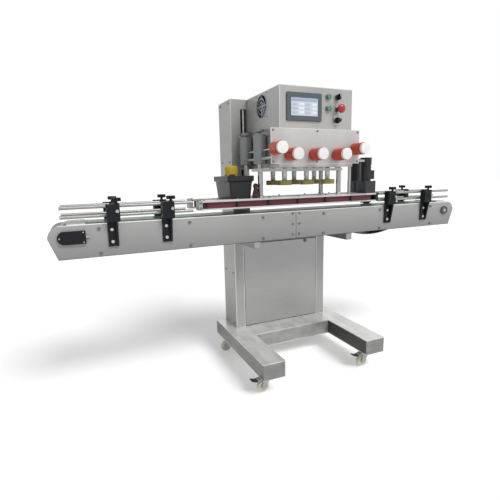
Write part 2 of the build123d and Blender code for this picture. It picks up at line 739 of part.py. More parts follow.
    for pulley_name, pulley_x in (("idle", grip_idle_x), ("drive", drive_x[side_name])):
        with BuildPart() as grip_pulley:
            bar_z(pulley_x, pulley_y, belt_low - 0.5, belt_high + 0.5, grip_pulley_radius - seat_gap)
            bar_z(pulley_x, pulley_y, grip_low, grip_high - seat_gap, grip_shaft_radius)
        keep(grip_pulley, side_name + "_" + pulley_name + "_pulley")

# Head frame: front panel, back plate, top plate, slotted base plate, guide bars,
# the low cross bar and the arm with its nut round the lift screw
knob_lines = {
    "knob_1": (post_left_x, grip_screw_z),
    "knob_2": (wheel_stations[0] - screw_to_spindle, spacing_screw_z),
    "knob_3": (wheel_stations[1] - screw_to_spindle, spacing_screw_z),
    "knob_4": (wheel_stations[2] - screw_to_spindle, spacing_screw_z),
    "knob_5": (grip_knob_right_x, grip_screw_z),
}
panel_back = head_front + head_panel_sheet
back_plate_front = head_back - head_back_sheet
arm_left = slot_left + (slot_width - arm_width) / 2
with BuildPart() as head_frame:
    block(head_left, head_right, head_front, panel_back, head_low, head_high)
    block(head_left, head_right, back_plate_front, head_back, head_base_low, head_high)
    block(box_left, box_right, panel_back, back_plate_front, head_high - head_top_sheet, head_high)
    block(base_plate_left, base_plate_right, head_front + base_plate_setback, back_plate_front, head_base_low,
          head_low)
    for side_left in (base_plate_left + head_side_left_inset, base_plate_right - head_side_right_inset):
        block(side_left, side_left + head_side_sheet, panel_back, back_plate_front, head_low, head_high)
    for wheel_x in wheel_stations:
        for side in sides.values():
            wheel_y = across(side, wheel_offset_y)
            reach = spindle_radius + carriage_travel + 2
            block(wheel_x - spindle_radius - 2, wheel_x + spindle_radius + 2, wheel_y - reach, wheel_y + reach,
                  head_base_low, head_low, mode=Mode.SUBTRACT)
    for post_x in (post_left_x, post_right_x):
        bar_y(post_x, panel_back, back_plate_front, guide_bar_z, guide_bar_radius)
    block(cross_bar_left, cross_bar_right, cross_bar_front_y, cross_bar_front_y + cross_bar_depth,
          cross_bar_high - cross_bar_height, cross_bar_high)
    for hanger_x in (base_plate_left + 10, (base_plate_left + base_plate_right) / 2, base_plate_right - 10):
        block(hanger_x - 5, hanger_x + 5, cross_bar_front_y, cross_bar_front_y + cross_bar_depth,
              cross_bar_high, head_base_low)
    block(arm_left, arm_left + arm_width, head_back, cabinet_front + cabinet_wall + 2, arm_low,
          arm_low + arm_height)
    block(lift_screw_x - lift_nut_width / 2, lift_screw_x + lift_nut_width / 2, cabinet_front + cabinet_wall + 1,
          lift_screw_y + lift_nut_depth / 2, arm_low, arm_low + arm_height)
    bar_z(lift_screw_x, lift_screw_y, arm_low, arm_low + arm_height, lift_screw_radius + running_gap,
          mode=Mode.SUBTRACT)
    for knob_x, knob_z in knob_lines.values():
        bar_y(knob_x, head_front, head_back - screw_end_wall, knob_z, hand_screw_radius + running_gap,
              mode=Mode.SUBTRACT)
keep(head_frame, "head_frame")

# Hand knobs: a fluted red body and a raised pale disc on the front end of each screw
for knob_name, (knob_x, knob_z) in knob_lines.items():
    knob_back = head_front - hand_knob_gap
    knob_face = knob_back - hand_knob_length
    with BuildPart() as hand_knob:
        with BuildSketch(Plane.XZ.offset(-knob_back)) as knob_plan:
            with Locations((knob_x, knob_z)):
                Circle(hand_knob_radius)
                with PolarLocations(hand_knob_radius + 3.5, 8):
                    Circle(4.5, mode=Mode.SUBTRACT)
        extrude(amount=hand_knob_length)
        bar_y(knob_x, knob_face - hand_knob_disc, knob_face, knob_z, hand_knob_disc_radius)
        bar_y(knob_x, knob_back, head_back - screw_end_wall - seat_gap, knob_z, hand_screw_radius)
    keep(hand_knob, "hand_" + knob_name)

# Cap wheels: a carriage for each spindle, and the spindle with its wheel and pulley
carriage_low = head_low + seat_gap
for i, wheel_x in enumerate(wheel_stations, start=1):
    for side_name, side in sides.items():
        wheel_y = across(side, wheel_offset_y)
        with BuildPart() as carriage:
            block(wheel_x - carriage_left, wheel_x + carriage_right, wheel_y - carriage_half_depth,
                  wheel_y + carriage_half_depth, carriage_low, carriage_low + carriage_height)
            fillet(carriage.edges().filter_by(Axis.Z), radius=5)
            bar_z(wheel_x, wheel_y, carriage_low, carriage_low + carriage_height, spindle_radius + running_gap,
                  mode=Mode.SUBTRACT)
            bar_y(wheel_x - screw_to_spindle, wheel_y - carriage_half_depth, wheel_y + carriage_half_depth,
                  spacing_screw_z, hand_screw_radius + running_gap, mode=Mode.SUBTRACT)
        keep(carriage, "carriage_" + side_name + "_" + str(i))

        with BuildPart() as spindle:
            wheel_high = wheel_low + wheel_height
            pulley_low = carriage_low + carriage_height + spindle_pulley_gap
            with BuildSketch(Plane.XZ.offset(-wheel_y)) as wheel_half:
                with BuildLine():
                    Polyline((wheel_x, wheel_low), (wheel_x + wheel_radius - 2, wheel_low),
                             (wheel_x + wheel_radius, wheel_low + 2), (wheel_x + wheel_radius, wheel_high - 2),
                             (wheel_x + wheel_radius - 2, wheel_high), (wheel_x + wheel_hub_radius, wheel_high),
                             (wheel_x + wheel_hub_radius, wheel_high + wheel_hub_height),
                             (wheel_x + spindle_radius, wheel_high + wheel_hub_height),
                             (wheel_x + spindle_radius, pulley_low),
                             (wheel_x + spindle_pulley_radius, pulley_low),
                             (wheel_x + spindle_pulley_radius, pulley_low + spindle_pulley_height),
                             (wheel_x, pulley_low + spindle_pulley_height), close=True)
                make_face()
            revolve(axis=Axis((wheel_x, wheel_y, 0), (0, 0, 1)))
        keep(spindle, "spindle_" + side_name + "_" + str(i))

# Control box: a sheet housing with a guarded fan hole and the square plate of the speed knob
with BuildPart() as control_box:
    block(box_left, box_right, box_front, head_back, box_low, box_high)
    fillet(control_box.edges().filter_by(Axis.Z), radius=4)
    block(box_left + box_wall, box_right - box_wall, box_front + box_wall, head_back - box_wall,
          box_low + box_wall, box_high - box_wall, mode=Mode.SUBTRACT)
    bar_x(box_left - 1, box_left + box_wall, fan_y, fan_z, fan_radius, mode=Mode.SUBTRACT)
    for ring_radius in (fan_radius + 5, fan_radius * 0.72, fan_radius * 0.4):
        with BuildSketch(Plane.YZ.offset(box_left - guard_wire)) as guard_ring:
            with Locations((fan_y, fan_z)):
                Circle(ring_radius)
                Circle(ring_radius - 3, mode=Mode.SUBTRACT)
        extrude(amount=guard_wire)
    with BuildSketch(Plane.YZ.offset(box_left - guard_wire)) as guard_spokes:
        with Locations((fan_y, fan_z)):
            Rectangle(2 * fan_radius + 7, 3)
            Rectangle(3, 2 * fan_radius + 7)
    extrude(amount=guard_wire)
    block(control_x - speed_plate / 2, control_x + speed_plate / 2, box_front - speed_plate_depth, box_front,
          speed_z - speed_plate / 2, speed_z + speed_plate / 2)
    for ring_z, ring_x in ((selector_z, control_x), (stop_z, control_x), (lamp_upper_z, lamp_x),
                           (lamp_lower_z, lamp_x)):
        bar_y(ring_x, box_front - control_ring_depth, box_front, ring_z, control_ring_radius)
    bar_y(control_x, box_front - control_ring_depth, box_front + box_wall, stop_z, stop_stem_radius + running_gap,
          mode=Mode.SUBTRACT)
    bar_x(box_left + box_wall, box_left + box_wall + 3, fan_y, fan_z, 5)
    block(box_left + box_wall, box_left + box_wall + 2, fan_y - fan_radius - 6, fan_y + fan_radius + 6,
          fan_z - 3, fan_z + 3)
keep(control_box, "control_box")

with BuildPart() as fan_rotor:
    rotor_x = box_left + box_wall + 3 + seat_gap
    bar_x(rotor_x, rotor_x + fan_depth, fan_y, fan_z, fan_hub_radius)
    for blade in range(fan_blades):
        turn_angle = radians(360 * blade / fan_blades)
        blade_start = fan_hub_radius - 2
        blade_plane = Plane(
            origin=(rotor_x + fan_depth / 2, fan_y + blade_start * cos(turn_angle),
                    fan_z + blade_start * sin(turn_angle)),
            x_dir=(1, 0, 0),
            z_dir=(0, cos(turn_angle), sin(turn_angle)),
        )
        with BuildSketch(blade_plane) as blade_section:
            Rectangle(fan_depth * 1.3, 2.2, rotation=38)
        extrude(amount=fan_radius - blade_start - 4)
keep(fan_rotor, "fan_rotor")

# Touch screen: bezel with a recessed glass
with BuildPart() as touch_screen:
    with BuildSketch(Plane.XZ.offset(-box_front)) as bezel_plan:
        with Locations((screen_centre_x, screen_centre_z)):
            RectangleRounded(bezel_width, bezel_height, 5)
    extrude(amount=bezel_depth)
    chamfer(touch_screen.faces().sort_by(Axis.Y)[0].edges(), length=2)
    with BuildSketch(Plane.XZ.offset(-(box_front - bezel_depth + 1.5))) as glass_recess:
        with Locations((screen_centre_x, screen_centre_z)):
            Rectangle(glass_width, glass_height)
    extrude(amount=1.5, mode=Mode.SUBTRACT)
keep(touch_screen, "touch_screen")

with BuildPart() as green_lamps:
    for lamp_z in (lamp_upper_z, lamp_lower_z):
        lamp_back = box_front - control_ring_depth
        with BuildSketch(Plane.XZ.offset(-lamp_back)) as lamp_plan:
            with Locations((lamp_x, lamp_z)):
                Circle(lamp_radius)
        extrude(amount=7)
    fillet(green_lamps.faces().sort_by(Axis.Y)[0:2].edges(), radius=3)
keep(green_lamps, "green_lamps")

control_back = box_front - control_ring_depth - seat_gap
with BuildPart() as selector:
    bar_y(control_x, control_back - 8, control_back, selector_z, control_ring_radius - 3)
    block(control_x - 3, control_x + 3, control_back - 18, control_back - 8, selector_z - 11, selector_z + 11)
keep(selector, "selector")

with BuildPart() as speed_knob:
    speed_back = box_front - speed_plate_depth - seat_gap
    bar_y(control_x, speed_back - 4, speed_back, speed_z, 12)
    bar_y(control_x, speed_back - 18, speed_back - 4, speed_z, 9)
    block(control_x - 1, control_x + 1, speed_back - 19, speed_back - 18, speed_z, speed_z + 9)
keep(speed_knob, "speed_knob")

with BuildPart() as emergency_stop:
    stem_end = control_back - stop_stem_length
    dome_height = stop_head_depth / 2
    dome_radius = (stop_head_radius ** 2 + dome_height ** 2) / (2 * dome_height)
    dome_mid_y = (stem_end - stop_head_depth + dome_radius
                  - sqrt(dome_radius ** 2 - (stop_head_radius / 2) ** 2))
    with BuildSketch(Plane.YZ.offset(control_x)) as stop_half:
        with BuildLine():
            stem_start = box_front - 1
            back = Line((stem_start, stop_z), (stem_start, stop_z + stop_stem_radius))
            stem = Line(back @ 1, (stem_end, stop_z + stop_stem_radius))
            under = Line(stem @ 1, (stem_end, stop_z + stop_head_radius))
            edge = Line(under @ 1, (stem_end - stop_head_depth / 2, stop_z + stop_head_radius))
            dome = ThreePointArc(edge @ 1, (dome_mid_y, stop_z + stop_head_radius / 2),
                                 (stem_end - stop_head_depth, stop_z))
            Line(dome @ 1, back @ 0)
        make_face()
    revolve(axis=Axis((control_x, 0, stop_z), (0, 1, 0)))
keep(emergency_stop, "emergency_stop")

# Bin on the gripping units, tapered, with a stepped rim; spare caps stand in it
bin_low = grip_high + seat_gap
with BuildPart() as parts_bin:
    bin_x = (bin_left + bin_right) / 2
    bin_y = (bin_front + bin_back) / 2
    bin_width = bin_right - bin_left
    bin_depth = bin_back - bin_front
    for wall, loft_mode in ((0, Mode.ADD), (bin_wall, Mode.SUBTRACT)):
        with BuildSketch(Plane.XY.offset(bin_low + wall)) as bin_floor:
            with Locations((bin_x, bin_y)):
                RectangleRounded(bin_width - 2 * bin_taper - 2 * wall, bin_depth - 2 * bin_taper - 2 * wall, 8)
        with BuildSketch(Plane.XY.offset(bin_low + bin_height)) as bin_mouth:
            with Locations((bin_x, bin_y)):
                RectangleRounded(bin_width - 2 * wall, bin_depth - 2 * wall, 8)
        loft(mode=loft_mode)
    with BuildSketch(Plane.XY.offset(bin_low + bin_height)) as rim_low:
        with Locations((bin_x, bin_y)):
            RectangleRounded(bin_width, bin_depth, 8)
    with BuildSketch(Plane.XY.offset(bin_low + bin_height + bin_rim_flare)) as rim_high:
        with Locations((bin_x, bin_y)):
            RectangleRounded(bin_width + 2 * bin_rim, bin_depth + 2 * bin_rim, 14)
    loft([rim_low.sketch, rim_high.sketch])
    with BuildSketch(Plane.XY.offset(bin_low + bin_height + bin_rim_flare)) as rim_top:
        with Locations((bin_x, bin_y)):
            RectangleRounded(bin_width + 2 * bin_rim, bin_depth + 2 * bin_rim, 14)
    extrude(amount=bin_rim_height - bin_rim_flare)
    with BuildSketch(Plane.XY.offset(bin_low + bin_height)) as rim_hole:
        with Locations((bin_x, bin_y)):
            RectangleRounded(bin_width - 2 * bin_wall, bin_depth - 2 * bin_wall, 8)
    extrude(amount=bin_rim_height, mode=Mode.SUBTRACT)
    block(bin_left - 4, bin_left + 22, bin_front - bin_rim - 2, bin_front - bin_rim + 8,
          bin_low + bin_height + bin_rim_height, bin_low + bin_height + bin_rim_height + 6)
keep(parts_bin, "parts_bin")

with BuildPart() as spare_caps:
    for i in range(spare_cap_count):
        cap_z = bin_low + bin_wall + 0.02 + i * spare_cap_height
        bar_z(bin_x - 3, bin_y + 15, cap_z, cap_z + spare_cap_height - 2, spare_cap_radius)
        bar_z(bin_x - 3, bin_y + 15, cap_z + spare_cap_height - 2, cap_z + spare_cap_height, spare_cap_radius - 2)
keep(spare_caps, "spare_caps")
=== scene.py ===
# Screw capping machine: the finishes of its parts, and its small hardware
import bpy
import bmesh
import math
from mathutils import Matrix, Vector


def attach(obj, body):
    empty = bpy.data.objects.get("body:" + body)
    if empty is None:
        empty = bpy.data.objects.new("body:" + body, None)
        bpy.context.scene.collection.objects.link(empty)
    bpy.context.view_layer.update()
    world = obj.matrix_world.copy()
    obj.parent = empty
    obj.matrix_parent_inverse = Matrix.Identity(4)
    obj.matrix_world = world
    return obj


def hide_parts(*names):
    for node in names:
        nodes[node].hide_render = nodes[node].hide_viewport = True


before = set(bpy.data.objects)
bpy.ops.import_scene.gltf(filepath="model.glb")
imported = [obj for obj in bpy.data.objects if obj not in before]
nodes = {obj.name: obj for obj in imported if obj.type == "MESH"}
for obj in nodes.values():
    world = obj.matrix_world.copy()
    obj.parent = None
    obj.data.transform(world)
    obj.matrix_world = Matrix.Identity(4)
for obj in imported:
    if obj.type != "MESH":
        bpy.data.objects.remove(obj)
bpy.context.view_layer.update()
scene = bpy.context.scene
print("frame loaded:", len(nodes), "nodes")


# Shader groups: each is built once and placed in the materials with its own values

def newGroup(name, inputs, outputs):
    group = bpy.data.node_groups.new(name, "ShaderNodeTree")
    for label, kind, value in inputs:
        socket = group.interface.new_socket(label, in_out="INPUT", socket_type="NodeSocket" + kind)
        if value is not None:
            socket.default_value = value
    for label in outputs:
        group.interface.new_socket(label, in_out="OUTPUT", socket_type="NodeSocketFloat")
    return group, group.nodes.new("NodeGroupInput").outputs, group.nodes.new("NodeGroupOutput").inputs


def plug(tree, socket, value):
    if isinstance(value, bpy.types.NodeSocket):
        tree.links.new(value, socket)
    else:
        socket.default_value = value


def calc(tree, operation, *values):
    node = tree.nodes.new("ShaderNodeMath")
    node.operation = operation
    for socket, value in zip(node.inputs, values):
        plug(tree, socket, value)
    return node.outputs[0]


def vectorCalc(tree, operation, first, second):
    node = tree.nodes.new("ShaderNodeVectorMath")
    node.operation = operation
    plug(tree, node.inputs[0], first)
    plug(tree, node.inputs[1], second)
    return node.outputs[0]


def makeNoiseGroup(name, scaleKind, scaleValue, detail):
    # noise around 1 in Tone, and the plain noise in Height for a bump
    group, source, sink = newGroup(
        name, [("Vector", "Vector", None), ("Scale", scaleKind, scaleValue), ("Amount", "Float", 0.1)],
        ["Tone", "Height"])
    noise = group.nodes.new("ShaderNodeTexNoise")
    noise.inputs["Detail"].default_value = detail
    if scaleKind == "Vector":
        noise.inputs["Scale"].default_value = 1.0
        stretched = vectorCalc(group, "MULTIPLY", source["Vector"], source["Scale"])
        group.links.new(stretched, noise.inputs["Vector"])
    else:
        group.links.new(source["Scale"], noise.inputs["Scale"])
        group.links.new(source["Vector"], noise.inputs["Vector"])
    swing = calc(group, "SUBTRACT", noise.outputs[0], 0.5)
    group.links.new(calc(group, "MULTIPLY_ADD", swing, source["Amount"], 1.0), sink["Tone"])
    group.links.new(noise.outputs[0], sink["Height"])
    return group


def makeBoxGroup():
    # 1 inside a box of the object's own coordinates
    group, source, sink = newGroup(
        "insideBox", [("Vector", "Vector", None), ("Low", "Vector", None), ("High", "Vector", None)],
        ["Mask"])
    below = vectorCalc(group, "SUBTRACT", source["Vector"], source["Low"])
    above = vectorCalc(group, "SUBTRACT", source["High"], source["Vector"])
    split = group.nodes.new("ShaderNodeSeparateXYZ")
    lowest = vectorCalc(group, "MINIMUM", below, above)
    group.links.new(lowest, split.inputs[0])
    leastFlat = calc(group, "MINIMUM", split.outputs[0], split.outputs[1])
    least = calc(group, "MINIMUM", leastFlat, split.outputs[2])
    group.links.new(calc(group, "GREATER_THAN", least, 0.0), sink["Mask"])
    return group


def makeRoundGroup():
    # 1 outside a cylinder that runs along y
    group, source, sink = newGroup(
        "outsideRound", [("Vector", "Vector", None), ("Centre", "Vector", None), ("Radius", "Float", 0.01)],
        ["Mask"])
    away = vectorCalc(group, "SUBTRACT", source["Vector"], source["Centre"])
    flat = vectorCalc(group, "MULTIPLY", away, (1.0, 0.0, 1.0))
    length = group.nodes.new("ShaderNodeVectorMath")
    length.operation = "LENGTH"
    group.links.new(flat, length.inputs[0])
    group.links.new(calc(group, "GREATER_THAN", length.outputs["Value"], source["Radius"]), sink["Mask"])
    return group


def makeHeightShadeGroup():
    # painted light and shade: a tone that rises with height between two levels, so the top is lighter and
    # the bottom darker
    group, source, sink = newGroup(
        "paintedHeightShade", [("Vector", "Vector", None), ("Low", "Float", 0.0), ("High", "Float", 1.0),
                      ("Amount", "Float", 0.1)], ["Tone"])
    split = group.nodes.new("ShaderNodeSeparateXYZ")
    group.links.new(source["Vector"], split.inputs[0])
    span = calc(group, "SUBTRACT", source["High"], source["Low"])
    share = calc(group, "DIVIDE", calc(group, "SUBTRACT", split.outputs[2], source["Low"]), span)
    held = calc(group, "MINIMUM", calc(group, "MAXIMUM", share, 0.0), 1.0)
    swing = calc(group, "MULTIPLY_ADD", held, 2.0, -1.0)
    group.links.new(calc(group, "MULTIPLY_ADD", swing, source["Amount"], 1.0), sink["Tone"])
    return group


heightShadeGroup = makeHeightShadeGroup()
grainAndSheenGroup = makeNoiseGroup("sheetGrainAndSheen", "Vector", (400.0, 400.0, 400.0), 4.0)
patchGroup = makeNoiseGroup("softPatches", "Float", 5.0, 2.0)
boxGroup = makeBoxGroup()
roundGroup = makeRoundGroup()

# How fine the grain is along each axis; a brushed sheet has long streaks one way
alongX = (14.0, 950.0, 950.0)
alongY = (950.0, 14.0, 950.0)
alongZ = (950.0, 950.0, 14.0)
allWays = (500.0, 500.0, 500.0)
wide = 9000.0  # past the machine's ends, in millimetres


def place(tree, group, coords, **values):
    node = tree.nodes.new("ShaderNodeGroup")
    node.node_tree = group
    tree.links.new(coords, node.inputs["Vector"])
    for label, value in values.items():
        plug(tree, node.inputs[label], value)
    return node.outputs


def mix(tree, kind, mask, first, second):
    # the sockets of a Mix node lie at other places for colours than for plain values
    node = tree.nodes.new("ShaderNodeMix")
    node.data_type = kind
    places = (6, 7, 2) if kind == "RGBA" else (2, 3, 0)
    plug(tree, node.inputs[0], mask)
    plug(tree, node.inputs[places[0]], first)
    plug(tree, node.inputs[places[1]], second)
    return node.outputs[places[2]]


def zone(axis, low, high):
    # a slab across the object between two levels of one axis, in millimetres
    corners = [[-wide] * 3, [wide] * 3]
    corners[0]["xyz".index(axis)] = low
    corners[1]["xyz".index(axis)] = high
    return corners


def finish(name, color, metal=0.0, rough=0.5, grain=allWays, grainAmount=0.1, bump=0.1, patchScale=5.0,
           patchAmount=0.12, roughSwing=0.1, zones=(), rings=(), heightShade=None, toneAndSheen=None, gloss=0.5):
    # zones are boxes with a look of their own, painted highlights and painted shade among them; rings are
    # looks outside a radius round some centres
    material = bpy.data.materials.new(name)
    material.use_nodes = True
    tree = material.node_tree
    shader = tree.nodes["Principled BSDF"]
    coords = tree.nodes.new("ShaderNodeTexCoord").outputs["Object"]
    grainOut = place(tree, grainAndSheenGroup, coords, Scale=grain, Amount=grainAmount)
    patchOut = place(tree, patchGroup, coords, Scale=patchScale, Amount=patchAmount)
    colorOut, metalOut, roughOut = (*color, 1.0), metal, rough
    masks = [(place(tree, boxGroup, coords, Low=Vector(low) / 1000, High=Vector(high) / 1000)[0], *rest)
             for (low, high), *rest in zones]
    for centres, radius, *rest in rings:
        outside = 1.0
        for centre in centres:
            far = place(tree, roundGroup, coords, Centre=Vector(centre) / 1000, Radius=radius / 1000)[0]
            outside = calc(tree, "MULTIPLY", far, outside)
        masks.append((outside, *rest))
    for mask, zoneColor, zoneMetal, zoneRough in masks:
        colorOut = mix(tree, "RGBA", mask, colorOut, (*zoneColor, 1.0))
        metalOut = mix(tree, "FLOAT", mask, metalOut, zoneMetal)
        roughOut = mix(tree, "FLOAT", mask, roughOut, zoneRough)
    tone = calc(tree, "MULTIPLY", grainOut["Tone"], patchOut["Tone"])
    # random tone with painted sheen: broad noise bands in the colour that stand for the steel's reflections
    if toneAndSheen:
        toneAndSheenOut = place(tree, grainAndSheenGroup, coords, Scale=toneAndSheen[0], Amount=toneAndSheen[1])
        tone = calc(tree, "MULTIPLY", tone, toneAndSheenOut["Tone"])
    # painted light and shade by height: lighter high up, darker low down
    if heightShade:
        heightShadeOut = place(tree, heightShadeGroup, coords, Low=heightShade[0] / 1000, High=heightShade[1] / 1000, Amount=heightShade[2])
        tone = calc(tree, "MULTIPLY", tone, heightShadeOut["Tone"])
    shade = tree.nodes.new("ShaderNodeMix")  # the colour times the tone
    shade.data_type = "RGBA"
    shade.blend_type = "MULTIPLY"
    shade.inputs[0].default_value = 1.0
    plug(tree, shade.inputs[6], colorOut)
    tree.links.new(tone, shade.inputs[7])
    tree.links.new(shade.outputs[2], shader.inputs["Base Color"])
    swing = calc(tree, "SUBTRACT", patchOut["Height"], 0.5)
    tree.links.new(calc(tree, "MULTIPLY_ADD", swing, roughSwing, roughOut), shader.inputs["Roughness"])
    plug(tree, shader.inputs["Metallic"], metalOut)
    shader.inputs["Specular IOR Level"].default_value = gloss
    bumpNode = tree.nodes.new("ShaderNodeBump")
    bumpNode.inputs["Strength"].default_value = bump
    bumpNode.inputs["Distance"].default_value = 0.0002
    tree.links.new(grainOut["Height"], bumpNode.inputs["Height"])
    tree.links.new(bumpNode.outputs[0], shader.inputs["Normal"])
    return material


# Looks that more than one finish uses: colour, metallic, roughness

sheetFeel = (0.32, 0.36)
steel = ((0.42, 0.42, 0.413), *sheetFeel)
# painted highlight: a light copy of the steel for strips along the sheets' edges
paintedHighlight = ((0.70, 0.70, 0.69), 0.5, 0.25)
chrome = ((0.42, 0.42, 0.415), 0.85, 0.22)
# black parts, and painted shade: the door's gaps, the conveyor plates' lower edge and the spacers between
# the units' plates
blackAndPaintedShade = ((0.008, 0.008, 0.009), 0.0, 0.5)
white = ((0.80, 0.80, 0.78), 0.0, 0.4)

# Looks of single zones
castPaint = ((0.23, 0.24, 0.245), 0.25, 0.45)
postSteel = ((0.36, 0.36, 0.355), 0.85, 0.2)
# painted shade: darker copies of the feet's steel for the beam's front, the feet's front ends and their
# sides
beamFrontShade = ((0.33, 0.33, 0.325), 0.32, 0.36)
footEndShade = ((0.24, 0.24, 0.236), 0.3, 0.38)
footInsideShade = ((0.045, 0.045, 0.044), 0.35, 0.36)
footOutsideShade = ((0.19, 0.19, 0.187), 0.35, 0.34)
darkBoss = ((0.09, 0.09, 0.09), 0.4, 0.4)
gearboxGrey = ((0.030, 0.032, 0.036), 0.0, 0.42)
maroon = ((0.07, 0.018, 0.018), 0.0, 0.35)
olive = ((0.33, 0.29, 0.075), 0.0, 0.35)
pulleyDark = ((0.10, 0.10, 0.10), 0.3, 0.4)
knobDisc = ((0.84, 0.84, 0.82), 0.0, 0.35)
screenGlass = ((0.62, 0.68, 0.76), 0.0, 0.14)
lampRing = ((0.14, 0.14, 0.14), 0.8, 0.3)

# Zones, in millimetres: painted highlights along the sheets' edges, painted shade in gaps, along the
# conveyor's lower edge, between the units' plates and on shaded faces, a dark joint, and pieces of another
# material
headZones = [(zone("z", 1068.4, 1072), *paintedHighlight), (zone("x", -190, -185), *paintedHighlight),
             (zone("x", 236, 240), *paintedHighlight), (((-190, -190, 931), (240, -184.2, 933.5)), *paintedHighlight)]
boxZones = [(zone("z", 1227.5, 1232), *paintedHighlight),
            (((-148, -187, 1070), (-144.5, -182, 1232)), *paintedHighlight),
            (zone("x", -160, -147.2), *chrome), (zone("y", -200, -185.4), *chrome)]
cabinetZones = [(((left, -200, 150), (left + 3, 131, top)), *paintedHighlight)
                for left, top in ((-228, 1240), (-183, 700), (234, 700))]
# painted shade: black strips along the door's edges for the gaps round it
doorZones = [(zone("x", -190, -177.2), *blackAndPaintedShade), (zone("x", 231.2, 240), *blackAndPaintedShade),
             (zone("z", 566, 580), *blackAndPaintedShade), (zone("z", 140, 152.8), *blackAndPaintedShade)]
# painted shade on the beam's front, the feet's front ends and their inner and outer sides; painted
# highlights along the top and bottom edges
footZones = [(((-182, 4, 84), (234, 14, 146)), *beamFrontShade), (zone("y", -284, -281), *footEndShade),
             (((233, -280, 84), (235, 290, 146)), *footInsideShade),
             (((-283, -290, 84), (-281, 290, 146)), *footOutsideShade),
             (zone("z", 147, 152), *paintedHighlight), (zone("z", 70, 82), *paintedHighlight)]
# painted shadow: black strips along the plates' lower edge on both sides; the strip at x 0 is the joint
# between the halves, and the top strip is a painted highlight
plateZones = [(((-wide, -61, 606), (wide, -57.1, 608.6)), *blackAndPaintedShade),
              (((-wide, 87.1, 606), (wide, 91, 608.6)), *blackAndPaintedShade), (zone("x", -0.9, 0.9), *blackAndPaintedShade),
              (((907, -75, 661), (955, -60.2, 709)), *darkBoss), (zone("z", 727.5, 732), *paintedHighlight)]
pedalZones = [(zone("x", -320, -284), *blackAndPaintedShade), (zone("x", 200, 231), *blackAndPaintedShade)]
clampZones = [(zone("x", station - 13, station + 13), *blackAndPaintedShade) for station in (-764, -564, 546, 790)]
clampZones += [(zone("y", -200, -89.5), *chrome), (zone("y", 119.5, 200), *chrome)]
# painted shade: the spacers between the plates are black for the shade between them; the barrels, posts and
# stay are their own materials
unitZones = [(zone("z", 937, 1090), *castPaint), (zone("z", 806, 937), *postSteel),
             (zone("x", 280, 380), *steel), (zone("z", 763.2, 787.8), *blackAndPaintedShade)]
motorZones = [(zone("z", 796.2, 852.9), *gearboxGrey), (zone("x", -225, -180), *maroon),
              (zone("x", -500, -440), *steel), (zone("x", 474, 500), *steel)]
wheelZones = [(zone("z", 845, 867.4), *olive), (zone("z", 867.4, 881.5), *white),
              (zone("z", 983, 999), *pulleyDark)]
handKnobZones = [(zone("y", -262, -247.2), *knobDisc), (zone("y", -188.8, 200), *chrome)]
glassZones = [(((-99.4, -190.8, 1117.1), (24.4, -190.2, 1184.9)), *screenGlass)]
stopZones = [(zone("y", -206, -180), *blackAndPaintedShade)]
lampRings = [([(77, 0, 1196), (77, 0, 1151)], 8.8, *lampRing)]
